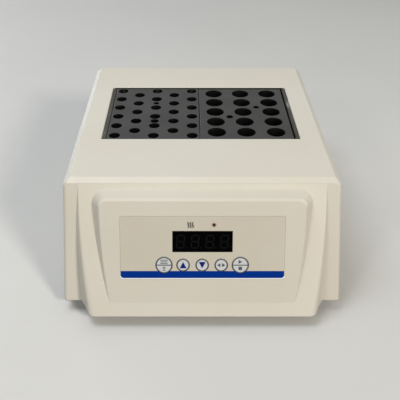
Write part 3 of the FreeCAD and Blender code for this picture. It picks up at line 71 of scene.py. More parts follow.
# Turns in degrees, from the right and against the clock
UPWARD = 90
LEFTWARD = 180
DOWNWARD = 270
FULL_TURN = 360
ARC_STEPS = 20

# Printing inks on the panel and keys
INK_THICK = 0.04 * MM
INK_REST = 0.005 * MM
WELD = 0.0005 * MM

# Blue band along the foot of the panel film, and a pale painted highlight that wraps its corners
BAND_MARGIN = 0.05 * MM
BAND_FOOT = 0.70 * MM
BAND_TALL = 5.30 * MM
BAND_CORNER = 2.2 * MM
BAND_KEY_GAP = 0.12 * MM
BAND_HIGHLIGHT = 0.66 * MM
BAND_HIGHLIGHT_WRAP = 70

# Rings, dividers and signs on the keys
KEYS = ("key_set", "key_up", "key_down", "key_shift", "key_start")
BIG_KEYS = ("key_set", "key_start")
ARROW_KEYS = ("key_up", "key_down")
RING_OUTER_INSET = 0.04 * MM
RING_WIDE = 0.72 * MM
RING_SIDES = 96
DIVIDER_TALL = 0.70 * MM
ARROW_WIDE = 4.9 * MM
ARROW_TALL = 4.7 * MM
SIGN_LIFT = 2.45 * MM
SIGN_STROKE = 0.55 * MM
LIST_WIDE = 5.2 * MM
LIST_STEP = 1.25 * MM
PLUS_REACH = 1.10 * MM
PLUS_RAISE = 0.35 * PLUS_REACH
MINUS_DROP = PLUS_REACH + 1.4 * SIGN_STROKE
PLAY_TALL = 2.9 * MM
PLAY_REACH = 0.9 * PLAY_TALL
STOP_SIDE = 2.5 * MM
SHIFT_TALL = 3.0 * MM
SHIFT_REACH = 0.8 * SHIFT_TALL
SHIFT_GAP = 0.60 * MM

# Lamp signs
WAVE_COUNT = 3
WAVE_PITCH = 1.5 * MM
WAVE_TALL = 3.9 * MM
WAVE_SWAY = 0.32 * MM
WAVE_STROKE = 0.88 * MM
WAVE_STEPS = 14
ALARM_RING_INNER = 1.30 * MM
ALARM_RING_OUTER = 2.00 * MM

# Unlit digits seen in the window, each with its point
DIGITS = 4
DIGIT_WIDE = 6.3 * MM
DIGIT_TALL = 10.2 * MM
DIGIT_PITCH = 10.55 * MM
DIGIT_SLANT = 0.08
SEGMENT_WIDE = 1.05 * MM
SEGMENT_GAP = 0.22 * MM
POINT_RADIUS = 0.5 * MM
POINT_AWAY = 1.8 * SEGMENT_WIDE
POINT_SIDES = 18

# Dark strips of painted shade on the front and back walls of the well's opening
SHADE_STRIP_HALF = 79.0 * MM
SHADE_STRIP_THICK = 0.25 * MM
SHADE_STRIP_LOW = 92.1 * MM
SHADE_STRIP_HIGH = 94.2 * MM
SHADE_STRIP_LINES_Y = (-18.80 * MM, 80.90 * MM)

# Liner of painted shade and skin on the back of the left block, measured from its back face
BLOCK_SKIN_REST = 0.01 * MM
BLOCK_LINER_THICK = 0.10 * MM
BLOCK_SKIN_THICK = 0.60 * MM
BLOCK_SKIN_DROP = 0.20 * MM

# Marks on the mains rocker, set on its face from behind
ROCKER_MARK_RISE = 5.0 * MM
ROCKER_MARK_TALL = 4.0 * MM
ROCKER_MARK_STROKE = 0.8 * MM
FAR_BEHIND = 1.0
FORWARD = Vector((0, -1, 0))
RIGHT_FROM_BEHIND = Vector((-1, 0, 0))

# Levels that turn a texture's value into a mask
GRAIN_LOW = 0.35
GRAIN_HIGH = 0.65
GRAIN_DETAIL = 2.0
MATTED_DETAIL = 6.0
EDGE_FLAT = 0.98
EDGE_TURNED = 0.80
# The next three set the painted shade that darkens the block's bores
HOLE_OPEN = 0.90
HOLE_SHUT = 0.45
HOLE_RAYS = 8
EVEN = (1, 1, 1)

# Depth of the texture on moulded and woven skins, and how far their gloss wanders
FINE_SKIN = 0.02 * MM
RUBBER_SKIN = 0.06 * MM
WOVEN_SKIN = 0.08 * MM
MOULDED_WANDER = 0.06
LENS_WANDER = 0.05

# A screen's own curve
SCREEN_FULL = 255
SCREEN_TOE = 0.055
SCREEN_GAMMA = 2.4


def srgb(red, green, blue):
    """A colour as it reads on a screen, 0 to 255, turned into linear light."""
    levels = [(level / SCREEN_FULL + SCREEN_TOE) / (1 + SCREEN_TOE) for level in (red, green, blue)]
    return (*[level ** SCREEN_GAMMA for level in levels], 1.0)


# Colours that are seen from the front
IVORY = srgb(214, 209, 197)
IVORY_WARM = srgb(211, 204, 190)
IVORY_SPECK = srgb(194, 187, 171)
FILM_BEIGE = srgb(204, 198, 183)
FILM_WARM = srgb(200, 193, 177)
BAND_BLUE = srgb(2, 52, 142)
BAND_DEEP = srgb(1, 45, 130)
# Painted highlight: the pale line that wraps the band's foot corners
HIGHLIGHT_PALE = srgb(250, 252, 255)
HIGHLIGHT_SOFT = srgb(240, 243, 246)
KEY_PALE = srgb(208, 211, 211)
KEY_GREY = srgb(201, 204, 205)
RING_GREY = srgb(84, 80, 86)
SIGN_GREY = srgb(90, 94, 112)
ARROW_NAVY = srgb(24, 38, 118)
ARROW_DEEP = srgb(18, 30, 104)
WAVE_GREY = srgb(48, 44, 40)
ALARM_PINK = srgb(196, 164, 150)
WINDOW_BLACK = srgb(3, 2, 2)
WINDOW_SMEAR = srgb(5, 3, 4)
DIGIT_GREY = srgb(15, 14, 15)
DIGIT_DEEP = srgb(9, 8, 9)
BLOCK_GREY = srgb(58, 58, 57)
BLOCK_CLOUD = srgb(66, 66, 65)
BLOCK_SCUFF = srgb(88, 88, 86)
BLOCK_RUBBED = srgb(98, 98, 97)
# Painted shade: the near black that the block's bores darken to
BLOCK_HOLE_SHADE = srgb(5, 5, 5)
SHEET_BROWN = srgb(80, 77, 70)
SHEET_DEEP = srgb(66, 63, 55)
SHEET_RUBBED = srgb(150, 147, 140)
FLOOR_PALE = srgb(214, 213, 210)
FLOOR_SHADE = srgb(210, 209, 206)
FLOOR_BOUNCE = srgb(84, 83, 81)

# Colours of the rear and the inside
MARK_WHITE = srgb(214, 214, 208)
MILLED_BRIGHT = srgb(202, 202, 203)
MILLED_DULL = srgb(184, 183, 182)
WOOL_CREAM = srgb(226, 221, 200)
WOOL_DEEP = srgb(196, 188, 158)
BOARD_GREEN = srgb(24, 84, 46)
TRACK_GREEN = srgb(36, 104, 58)
CORE_GREY = srgb(74, 74, 78)
CORE_SEAM = srgb(48, 48, 52)
RIBBON_GREY = srgb(158, 160, 164)
RIBBON_GROOVE = srgb(112, 114, 120)
EARTH_GREEN = srgb(52, 128, 50)
EARTH_YELLOW = srgb(214, 196, 52)
FUSE_CLEAR = srgb(206, 210, 210)
FUSE_DULL = srgb(190, 194, 194)

# Pairs: a finish's main tone and the one that drifts through it
RED_LENS = (srgb(48, 8, 8), srgb(30, 6, 6))
MODULE_BLACK = (srgb(24, 24, 25), srgb(18, 18, 19))
SEGMENT_GREY = (srgb(60, 56, 56), srgb(50, 46, 46))
SILICONE_RED = (srgb(158, 72, 44), srgb(134, 58, 36))
ZINC_SHEET = (srgb(188, 190, 192), srgb(164, 166, 170))
ZINC_SCREW = (srgb(200, 201, 202), srgb(172, 174, 176))
FOOT_BLACK = (srgb(30, 30, 31), srgb(40, 39, 38))
SATIN_BLACK = (srgb(33, 33, 35), srgb(25, 25, 27))
RELAY_BLUE = (srgb(52, 92, 156), srgb(44, 80, 140))
TERMINAL_GREEN = (srgb(44, 138, 84), srgb(36, 120, 72))
SLEEVE_NAVY = (srgb(46, 52, 74), srgb(38, 42, 62))
TINNED_BRASS = (srgb(208, 204, 192), srgb(186, 178, 160))
WIRE_BLUE = (srgb(42, 74, 158), srgb(34, 62, 138))
GLASS_SLEEVE = (srgb(216, 212, 202), srgb(196, 190, 176))
# Painted shade: the near black of the strips in the well opening's gaps
SHADE_STRIP_BLACK = (srgb(26, 25, 23), srgb(20, 19, 18))
# Painted shade: the near black of the liner that closes the left block's back wells
BORE_SHADE_BLACK = (srgb(6, 6, 6), srgb(4, 4, 4))


class Finish:
    """A surface finish being built: one shader and the textures that feed it."""

    def __init__(self, name, colour, roughness, metallic=0.0, **sockets):
        self.material = bpy.data.materials.new(name)
        self.material.use_nodes = True
        self.nodes = self.material.node_tree.nodes
        self.links = self.material.node_tree.links
        self.shader = self.nodes["Principled BSDF"]
        self.colour = colour
        self.shader.inputs["Base Color"].default_value = colour
        self.shader.inputs["Roughness"].default_value = roughness
        self.shader.inputs["Metallic"].default_value = metallic
        for socket, value in sockets.items():
            self.shader.inputs[socket.replace("_", " ")].default_value = value
        self.normal = None

    def grain(self, scale, stretch=EVEN, detail=GRAIN_DETAIL):
        """Noise over the piece, around a half. Stretch draws it out into streaks."""
        place = self.nodes.new("ShaderNodeTexCoord")
        mapping = self.nodes.new("ShaderNodeMapping")
        noise = self.nodes.new("ShaderNodeTexNoise")
        mapping.inputs["Scale"].default_value = stretch
        noise.inputs["Scale"].default_value = scale
        noise.inputs["Detail"].default_value = detail
        self.links.new(place.outputs["Object"], mapping.inputs["Vector"])
        self.links.new(mapping.outputs["Vector"], noise.inputs["Vector"])
        return noise.outputs["Fac"]

    def stripes(self, scale, direction):
        """Even bands across one axis of the piece."""
        place = self.nodes.new("ShaderNodeTexCoord")
        wave = self.nodes.new("ShaderNodeTexWave")
        wave.bands_direction = direction
        wave.inputs["Scale"].default_value = scale
        self.links.new(place.outputs["Object"], wave.inputs["Vector"])
        return wave.outputs["Fac"]

    def between(self, value, low, high, out_low=0.0, out_high=1.0):
        """The value spread so that low and high become the two ends, held at both."""
        spread = self.nodes.new("ShaderNodeMapRange")
        spread.inputs["From Min"].default_value = low
        spread.inputs["From Max"].default_value = high
        spread.inputs["To Min"].default_value = out_low
        spread.inputs["To Max"].default_value = out_high
        self.links.new(value, spread.inputs["Value"])
        return spread.outputs["Result"]

    def edges(self, radius):
        """A mask that rises towards 1 on sharp edges, by how far a rounded normal turns there."""
        rounded = self.nodes.new("ShaderNodeBevel")
        flat = self.nodes.new("ShaderNodeNewGeometry")
        turned = self.nodes.new("ShaderNodeVectorMath")
        rounded.inputs["Radius"].default_value = radius
        turned.operation = "DOT_PRODUCT"
        self.links.new(rounded.outputs["Normal"], turned.inputs[0])
        self.links.new(flat.outputs["Normal"], turned.inputs[1])
        return self.between(turned.outputs["Value"], EDGE_FLAT, EDGE_TURNED)

    def hollows(self, reach):
        """A mask for painted shade that rises to 1 down the piece's own holes, by how much of the sky they lose.
        """
        shade = self.nodes.new("ShaderNodeAmbientOcclusion")
        shade.only_local = True
        shade.samples = HOLE_RAYS
        shade.inputs["Distance"].default_value = reach
        return self.between(shade.outputs["AO"], HOLE_OPEN, HOLE_SHUT)

    def soften(self, radius):
        """Rounds the shading of sharp edges, so that they catch the light."""
        rounded = self.nodes.new("ShaderNodeBevel")
        rounded.inputs["Radius"].default_value = radius
        self.normal = rounded.outputs["Normal"]

    def tint(self, mask, colour):
        """Lays another colour over what is there, as strongly as the mask says."""
        mix = self.nodes.new("ShaderNodeMix")
        mix.data_type = "RGBA"
        factor, under, over = mix.inputs[0], mix.inputs[6], mix.inputs[7]
        result = mix.outputs[2]
        over.default_value = colour
        self.links.new(mask, factor)
        if isinstance(self.colour, tuple):
            under.default_value = self.colour
        else:
            self.links.new(self.colour, under)
        self.links.new(result, self.shader.inputs["Base Color"])
        self.colour = result

    def drift(self, colour, scale, low, high, stretch=EVEN):
        """Lets another colour in with a grain, from none of it at low to all of it at high."""
        self.tint(self.between(self.grain(scale, stretch), low, high), colour)

    def wander(self, scale, low, high, stretch=EVEN):
        """Lets the roughness wander between two levels with a grain."""
        levels = self.between(self.grain(scale, stretch), GRAIN_LOW, GRAIN_HIGH, low, high)
        self.links.new(levels, self.shader.inputs["Roughness"])

    def emboss(self, value, depth):
        """Raises the surface by up to depth where the value is high."""
        bump = self.nodes.new("ShaderNodeBump")
        bump.inputs["Distance"].default_value = depth
        self.links.new(value, bump.inputs["Height"])
        if self.normal is not None:
            self.links.new(self.normal, bump.inputs["Normal"])
        self.normal = bump.outputs["Normal"]
        self.links.new(self.normal, self.shader.inputs["Normal"])


def moulded_ivory():
    """Housing plastic: a fine spark-eroded texture, a little warmer in drifts, with rare specks."""
    finish = Finish("moulded_ivory", IVORY, roughness=0.44)
    finish.drift(IVORY_WARM, scale=11, low=0.35, high=0.75)
    finish.drift(IVORY_SPECK, scale=420, low=0.70, high=0.82)
    finish.wander(scale=70, low=0.40, high=0.50)
    finish.soften(radius=0.5 * MM)
    finish.emboss(finish.grain(scale=2200), depth=0.03 * MM)
    return finish.material


def printed_film():
    """The panel film's printed face."""
    finish = Finish("printed_film", FILM_BEIGE, roughness=0.40)
    finish.drift(FILM_WARM, scale=25, low=0.35, high=0.70)
    finish.wander(scale=150, low=0.36, high=0.46)
    finish.emboss(finish.grain(scale=3200), depth=0.012 * MM)
    return finish.material


def ink(name, colour, deep):
    """A printed ink, a little uneven in its cover."""
    finish = Finish(name, colour, roughness=0.42, Specular_IOR_Level=0.03)
    finish.drift(deep, scale=900, low=0.40, high=0.72)
    finish.wander(scale=260, low=0.38, high=0.48)
    finish.emboss(finish.grain(scale=3200), depth=0.010 * MM)
    return finish.material


def smoked_acrylic():
    """The display window: near-black and glossy, with the faintest smears."""
    finish = Finish("smoked_acrylic", WINDOW_BLACK, roughness=0.16, Specular_IOR_Level=0.01)
    finish.drift(WINDOW_SMEAR, scale=120, low=0.55, high=0.80)
    finish.wander(scale=90, low=0.12, high=0.22)
    return finish.material


def unlit_digit():
    """Unlit segments showing faintly through the window."""
    finish = Finish("unlit_digit", DIGIT_GREY, roughness=0.35, Specular_IOR_Level=0.05)
    finish.drift(DIGIT_DEEP, scale=420, low=0.45, high=0.75)
    finish.wander(scale=300, low=0.3, high=0.4)
    return finish.material


def lens(name, colour, deep, roughness):
    """A small moulded lens."""
    finish = Finish(name, colour, roughness)
    finish.drift(deep, scale=800, low=0.40, high=0.70)
    finish.wander(scale=500, low=roughness - LENS_WANDER, high=roughness + LENS_WANDER)
    return finish.material


def hard_anodised():
    """Block aluminium, hard anodised: cutter lines, cloudy tone, pale scuffs, rubbed edges and painted shade down
    the bores.
    """
    finish = Finish("hard_anodised", BLOCK_GREY, roughness=0.5, Specular_IOR_Level=0.2)
    finish.drift(BLOCK_CLOUD, scale=45, low=0.35, high=0.70)
    finish.drift(BLOCK_SCUFF, scale=160, low=0.70, high=0.86, stretch=(1, 9, 1))
    finish.tint(finish.edges(radius=0.35 * MM), BLOCK_RUBBED)
    # Painted shade: the bores darken towards near black as they lose sky
    finish.tint(finish.hollows(reach=30 * MM), BLOCK_HOLE_SHADE)
    finish.wander(scale=90, low=0.42, high=0.56)
    finish.emboss(finish.grain(scale=500, stretch=(0.05, 1, 1)), depth=0.012 * MM)
    return finish.material


def heat_tinted_sheet():
    """The well's sheet metal, browned by heat, with rubbed streaks."""
    finish = Finish("heat_tinted_sheet", SHEET_BROWN, roughness=0.42, metallic=0.7)
    finish.drift(SHEET_DEEP, scale=60, low=0.35, high=0.70)
    finish.drift(SHEET_RUBBED, scale=240, low=0.62, high=0.78, stretch=(1, 0.15, 1))
    finish.wander(scale=180, low=0.34, high=0.52, stretch=(1, 0.2, 1))
    finish.emboss(finish.grain(scale=700, stretch=(1, 0.06, 1)), depth=0.010 * MM)
    return finish.material


def milled_aluminium():
    """Bare aluminium with the mill's parallel lines."""
    finish = Finish("milled_aluminium", MILLED_BRIGHT, roughness=0.34, metallic=1.0)
    finish.drift(MILLED_DULL, scale=40, low=0.40, high=0.75)
    finish.wander(scale=600, low=0.24, high=0.42, stretch=(0.04, 1, 1))
    finish.emboss(finish.stripes(scale=900, direction="Y"), depth=0.008 * MM)
    return finish.material


def plated(name, colour, deep):
    """Zinc or tin plate: spangled tone and fine rolling streaks."""
    finish = Finish(name, colour, roughness=0.38, metallic=1.0)
    finish.drift(deep, scale=160, low=0.40, high=0.70)
    finish.wander(scale=120, low=0.30, high=0.46)
    finish.emboss(finish.grain(scale=900, stretch=(0.08, 1, 1)), depth=0.008 * MM)
    return finish.material


def moulded(name, colour, deep, roughness, skin=FINE_SKIN):
    """A plain moulded or potted part with a fine skin."""
    finish = Finish(name, colour, roughness)
    finish.drift(deep, scale=130, low=0.38, high=0.72)
    finish.wander(scale=200, low=roughness - MOULDED_WANDER, high=roughness + MOULDED_WANDER)
    finish.emboss(finish.grain(scale=1900), depth=skin)
    return finish.material


def pressed_fibre():
    """Glass wool: matted fibres and loose hollows."""
    finish = Finish("pressed_fibre", WOOL_CREAM, roughness=0.95)
    finish.drift(WOOL_DEEP, scale=300, low=0.45, high=0.75, stretch=(1, 1, 4))
    finish.emboss(finish.grain(scale=420, stretch=(1, 1, 5), detail=MATTED_DETAIL), depth=0.6 * MM)
    return finish.material


def solder_mask():
    """Green circuit board with faint tracks under the mask."""
    finish = Finish("solder_mask", BOARD_GREEN, roughness=0.35)
    tracks = finish.stripes(scale=95, direction="X")
    finish.tint(finish.between(tracks, low=0.80, high=0.95), TRACK_GREEN)
    finish.wander(scale=200, low=0.30, high=0.42)
    finish.emboss(tracks, depth=0.02 * MM)
    return finish.material


def laminated_core():
    """Transformer iron: stacked plates under lacquer."""
    finish = Finish("laminated_core", CORE_GREY, roughness=0.4, metallic=0.6)
    plates = finish.stripes(scale=340, direction="Z")
    finish.tint(finish.between(plates, low=0.60, high=0.90), CORE_SEAM)
    finish.wander(scale=150, low=0.34, high=0.5)
    finish.emboss(plates, depth=0.05 * MM)
    return finish.material


def ribbon():
    """Flat cable: one ridge for each conductor."""
    finish = Finish("ribbon", RIBBON_GREY, roughness=0.5)
    ridges = finish.stripes(scale=125, direction="X")
    finish.tint(finish.between(ridges, low=0.05, high=0.25, out_low=1.0, out_high=0.0), RIBBON_GROOVE)
    finish.wander(scale=200, low=0.44, high=0.56)
    finish.emboss(ridges, depth=0.2 * MM)
    return finish.material


def earth_insulation():
    """Green wire with yellow spiral stripes."""
    finish = Finish("earth_insulation", EARTH_GREEN, roughness=0.4)
    spiral = finish.stripes(scale=60, direction="DIAGONAL")
    finish.tint(finish.between(spiral, low=0.62, high=0.68), EARTH_YELLOW)
    finish.wander(scale=300, low=0.34, high=0.46)
    finish.emboss(finish.grain(scale=1500), depth=FINE_SKIN)
    return finish.material


def fuse_tube():
    """Glass tube with nickel caps, seen as one bright clear piece."""
    finish = Finish("fuse_tube", FUSE_CLEAR, roughness=0.12, Transmission_Weight=0.6, IOR=1.5)
    finish.drift(FUSE_DULL, scale=300, low=0.50, high=0.80)
    finish.wander(scale=200, low=0.08, high=0.18)
    return finish.material


def finishes_by_slot():
    """One finish for each material slot of the record."""
    return {
        "ivory_plastic": moulded_ivory(),
        "overlay_film": printed_film(),
        "smoked_window": smoked_acrylic(),
        "key_film": ink("key_cap", KEY_PALE, KEY_GREY),
        "lamp_red": lens("red_lens", *RED_LENS, roughness=0.25),
        "lamp_clear": lens("frosted_lens", FILM_BEIGE, FILM_WARM, roughness=0.42),
        "led_black": moulded("module_black", *MODULE_BLACK, roughness=0.5),
        "led_segment": lens("segment_grey", *SEGMENT_GREY, roughness=0.5),
        "anodised_block": hard_anodised(),
        "well_sheet": heat_tinted_sheet(),
        "bare_aluminium": milled_aluminium(),
        "heater_silicone": moulded("silicone_mat", *SILICONE_RED, roughness=0.6, skin=WOVEN_SKIN),
        "glass_wool": pressed_fibre(),
        "zinc_sheet": plated("zinc_sheet", *ZINC_SHEET),
        "zinc_screw": plated("zinc_screw", *ZINC_SCREW),
        "foot_rubber": moulded("foot_rubber", *FOOT_BLACK, roughness=0.8, skin=RUBBER_SKIN),
        "board_green": solder_mask(),
        "black_plastic": moulded("satin_black", *SATIN_BLACK, roughness=0.42),
        "part_blue": moulded("relay_case", *RELAY_BLUE, roughness=0.38),
        "terminal_green": moulded("terminal_green", *TERMINAL_GREEN, roughness=0.45),
        "core_steel": laminated_core(),
        "can_sleeve": moulded("can_sleeve", *SLEEVE_NAVY, roughness=0.32),
        "tin_metal": plated("tinned_brass", *TINNED_BRASS),
        "ribbon_grey": ribbon(),
        "wire_blue": moulded("wire_blue", *WIRE_BLUE, roughness=0.4),
        "wire_earth": earth_insulation(),
        "wire_white": moulded("glass_sleeve", *GLASS_SLEEVE, roughness=0.75, skin=WOVEN_SKIN),
        "fuse_glass": fuse_tube(),
    }


def print_finishes():
    """The inks of the printed pieces and of the painted edge highlight, and the near black of the painted shade
    strips.
    """
    return {
        "band": ink("band_blue", BAND_BLUE, BAND_DEEP),
        # Painted highlight: a pale line where an edge below the band catches the light
        "line": ink("line_pale", HIGHLIGHT_PALE, HIGHLIGHT_SOFT),
        "ring": ink("ring_grey", RING_GREY, SIGN_GREY),
        "sign": ink("sign_grey", SIGN_GREY, RING_GREY),
        "arrow": ink("arrow_navy", ARROW_NAVY, ARROW_DEEP),
        "wave": ink("wave_grey", WAVE_GREY, RING_GREY),
        "pink": ink("alarm_pink", ALARM_PINK, FILM_BEIGE),
        "digit": unlit_digit(),
        "mark": ink("mark_white", MARK_WHITE, KEY_GREY),
        # Painted shade: the strips' near black stands in for the shaded gaps of the well
        "shade_strip": moulded("painted_shade_strip", *SHADE_STRIP_BLACK, roughness=0.75),
    }


def dress_nodes(finishes):
    """Gives every carried-over node the finish of its slot."""
    for part in frame["record"]["subparts"]:
        node = frame["nodes"][part["node"]]
        for holder in node.material_slots:
            holder.material = finishes[part["material_slot"]]


# The panel's axes: keys press straight into it, so its outward axis is against their travel
KEY_TRAVEL = next(joint for joint in frame["joints"] if joint["name"] == "key_up_press")
PANEL_OUT = -Vector(KEY_TRAVEL["axis"]).normalized()
PANEL_RIGHT = Vector((1, 0, 0))
PANEL_UP = PANEL_OUT.cross(PANEL_RIGHT)
PANEL = Matrix((PANEL_RIGHT, PANEL_UP, PANEL_OUT)).transposed().to_4x4()
AS_DRAWN = Matrix.Identity(4)


def panel_box(node):
    """Lowest and highest corner of a node along the panel's axes."""
    to_panel = PANEL.inverted()
    points = [to_panel @ vertex.co for vertex in frame["nodes"][node].data.vertices]
    low = Vector([min(point[axis] for point in points) for axis in range(3)])
    high = Vector([max(point[axis] for point in points) for axis in range(3)])
    return low, high


def keep_piece(bm, name, place, finish, body):
    """Sets a shape in its place and keeps it as a piece that rides on a body."""
    bmesh.ops.remove_doubles(bm, verts=bm.verts, dist=WELD)
    bmesh.ops.recalc_face_normals(bm, faces=bm.faces)
    bmesh.ops.transform(bm, matrix=place, verts=bm.verts)
    mesh = bpy.data.meshes.new(name)
    bm.to_mesh(mesh)
    bm.free()
    mesh.materials.append(finish)
    piece = bpy.data.objects.new(name, mesh)
    bpy.context.scene.collection.objects.link(piece)
    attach(piece, body)


def thicken(bm, faces):
    """Raises flat faces into a layer of ink."""
    raised = bmesh.ops.extrude_face_region(bm, geom=faces, use_keep_orig=True)
    tops = [part for part in raised["geom"] if isinstance(part, bmesh.types.BMVert)]
    bmesh.ops.translate(bm, verts=tops, vec=(0, 0, INK_THICK))


def ink_patch(bm, outline, z):
    """One printed patch inside an outline."""
    corners = [bm.verts.new((x, y, z)) for x, y in outline]
    thicken(bm, [bm.faces.new(corners)])


def ink_ring(bm, x, y, z, inner, outer):
    """One printed ring."""
    edges = []
    for radius in (inner, outer):
        circle = bmesh.ops.create_circle(bm, segments=RING_SIDES, radius=radius,
                                         matrix=Matrix.Translation((x, y, z)))
        edges += {edge for vertex in circle["verts"] for edge in vertex.link_edges}
    bridged = bmesh.ops.bridge_loops(bm, edges=edges)
    thicken(bm, bridged["faces"])


def add_box(bm, low, high):
    """A box between two corners."""
    place = Matrix.LocRotScale((low + high) / 2, None, high - low)
    bmesh.ops.create_cube(bm, size=1, matrix=place)


def bar(x, y, wide, tall):
    """Outline of a bar about its middle."""
    return [(x - wide / 2, y - tall / 2), (x + wide / 2, y - tall / 2),
            (x + wide / 2, y + tall / 2), (x - wide / 2, y + tall / 2)]


def arrow(x, y, base, reach, turn):
    """Outline of a triangle about its middle, pointing right and then turned, in degrees."""
    spin = Matrix.Rotation(math.radians(turn), 2)
    corners = [Vector((-reach / 2, -base / 2)), Vector((reach / 2, 0)), Vector((-reach / 2, base / 2))]
    return [tuple(spin @ corner + Vector((x, y))) for corner in corners]


def arc(x, y, radius, start, end, steps=ARC_STEPS):
    """Points round an arc, in degrees."""
    turns = [math.radians(start + (end - start) * step / steps) for step in range(steps + 1)]
    return [(x + radius * math.cos(turn), y + radius * math.sin(turn)) for turn in turns]


def key_place(key):
    """A key's centre, top and radius on the panel."""
    low, high = panel_box(key)
    centre = (low + high) / 2
    return centre.x, centre.y, high.z, (high.x - low.x) / 2


def print_band(finishes):
    """The blue band at the film's foot, let in round the keys, and the pale painted highlight under it."""
    low, high = panel_box("panel_overlay")
    left, right = low.x + BAND_MARGIN, high.x - BAND_MARGIN
    foot = low.y + BAND_FOOT
    top = foot + BAND_TALL
    left_mid = (left + BAND_CORNER, foot + BAND_CORNER)
    right_mid = (right - BAND_CORNER, foot + BAND_CORNER)

    outline = arc(*left_mid, BAND_CORNER, LEFTWARD, DOWNWARD)
    outline += arc(*right_mid, BAND_CORNER, DOWNWARD, FULL_TURN)
    outline.append((right, top))
    for key in reversed(KEYS):
        x, y, _, radius = key_place(key)
        reach = radius + BAND_KEY_GAP
        lean = math.degrees(math.asin((top - y) / reach))
        outline += arc(x, y, reach, lean, -LEFTWARD - lean)
    outline.append((left, top))
    bm = bmesh.new()
    ink_patch(bm, outline, high.z + INK_REST)
    keep_piece(bm, "panel_band", PANEL, finishes["band"], "unit")

    # Painted highlight: a pale line round the band's foot corners, where an edge catches the light
    outer = BAND_CORNER + BAND_HIGHLIGHT
    start, end = DOWNWARD - BAND_HIGHLIGHT_WRAP, DOWNWARD + BAND_HIGHLIGHT_WRAP
    line = arc(*left_mid, outer, start, DOWNWARD)
    line += arc(*right_mid, outer, DOWNWARD, end)
    line += arc(*right_mid, BAND_CORNER, end, DOWNWARD)
    line += arc(*left_mid, BAND_CORNER, DOWNWARD, start)
    bm = bmesh.new()
    ink_patch(bm, line, high.z + INK_REST)
    keep_piece(bm, "panel_band_line", PANEL, finishes["line"], "unit")


def plus_and_minus(x, y):
    """Outlines of a plus, as one bar across and two half bars, with a minus under it."""
    half_tall = PLUS_REACH - SIGN_STROKE / 2
    half_mid = (PLUS_REACH + SIGN_STROKE / 2) / 2
    return [bar(x, y, 2 * PLUS_REACH, SIGN_STROKE),
            bar(x, y + half_mid, SIGN_STROKE, half_tall),
            bar(x, y - half_mid, SIGN_STROKE, half_tall),
            bar(x, y - MINUS_DROP, 2 * PLUS_REACH, SIGN_STROKE)]


def key_signs(key, x, y):
    """Outlines of the plain signs on a key."""
    above, below = y + SIGN_LIFT, y - SIGN_LIFT
    if key == "key_up":
        return [arrow(x, y, ARROW_WIDE, ARROW_TALL, UPWARD)]
    if key == "key_down":
        return [arrow(x, y, ARROW_WIDE, ARROW_TALL, DOWNWARD)]
    if key == "key_shift":
        middle = (SHIFT_GAP + SHIFT_TALL) / 2
        return [arrow(x + middle, y, SHIFT_TALL, SHIFT_REACH, 0),
                arrow(x - middle, y, SHIFT_TALL, SHIFT_REACH, LEFTWARD)]
    if key == "key_set":
        lines = [bar(x, above + LIST_STEP * row, LIST_WIDE, SIGN_STROKE) for row in (-1, 0, 1)]
        return lines + plus_and_minus(x, below + PLUS_RAISE)
    return [arrow(x, above, PLAY_TALL, PLAY_REACH, 0), bar(x, below, STOP_SIDE, STOP_SIDE)]


def print_keys(finishes):
    """Each key's ring, divider and signs, which travel with the key."""
    for key in KEYS:
        x, y, top, radius = key_place(key)
        z = top + INK_REST
        outer = radius - RING_OUTER_INSET
        inner = outer - RING_WIDE
        bm = bmesh.new()
        ink_ring(bm, x, y, z, inner, outer)
        if key in BIG_KEYS:
            ink_patch(bm, bar(x, y, 2 * inner, DIVIDER_TALL), z)
        keep_piece(bm, key + "_ring", PANEL, finishes["ring"], key)
        bm = bmesh.new()
        for outline in key_signs(key, x, y):
            ink_patch(bm, outline, z)
        sign = finishes["arrow"] if key in ARROW_KEYS else finishes["sign"]
        keep_piece(bm, key + "_sign", PANEL, sign, key)


def print_lamps(finishes):
    """Three rising heat waves on the heat lamp's lens, and a pink ring round the alarm lamp."""
    low, high = panel_box("heat_lamp")
    middle = (low + high) / 2
    bm = bmesh.new()
    for wave in range(WAVE_COUNT):
        x = middle.x + (wave - (WAVE_COUNT - 1) / 2) * WAVE_PITCH
        left, right = [], []
        for step in range(WAVE_STEPS + 1):
            share = step / WAVE_STEPS
            y = middle.y + (share - 0.5) * WAVE_TALL
            sway = x + WAVE_SWAY * math.sin(2 * math.pi * share)
            left.append((sway - WAVE_STROKE / 2, y))
            right.append((sway + WAVE_STROKE / 2, y))
        ink_patch(bm, right + left[::-1], high.z + INK_REST)
    keep_piece(bm, "heat_waves", PANEL, finishes["wave"], "unit")

    low, high = panel_box("alarm_lamp")
    middle = (low + high) / 2
    bm = bmesh.new()
    ink_ring(bm, middle.x, middle.y, high.z + INK_REST, ALARM_RING_INNER, ALARM_RING_OUTER)
    keep_piece(bm, "alarm_ring", PANEL, finishes["pink"], "unit")


def segment(x, y, long, upright):
    """Outline of one display segment, pointed at both ends."""
    half, point = long / 2 - SEGMENT_GAP, SEGMENT_WIDE / 2
    along = [(-half, 0), (point - half, -point), (half - point, -point), (half, 0),
             (half - point, point), (point - half, point)]
    if upright:
        return [(x - v, y + u) for u, v in along]
    return [(x + u, y + v) for u, v in along]


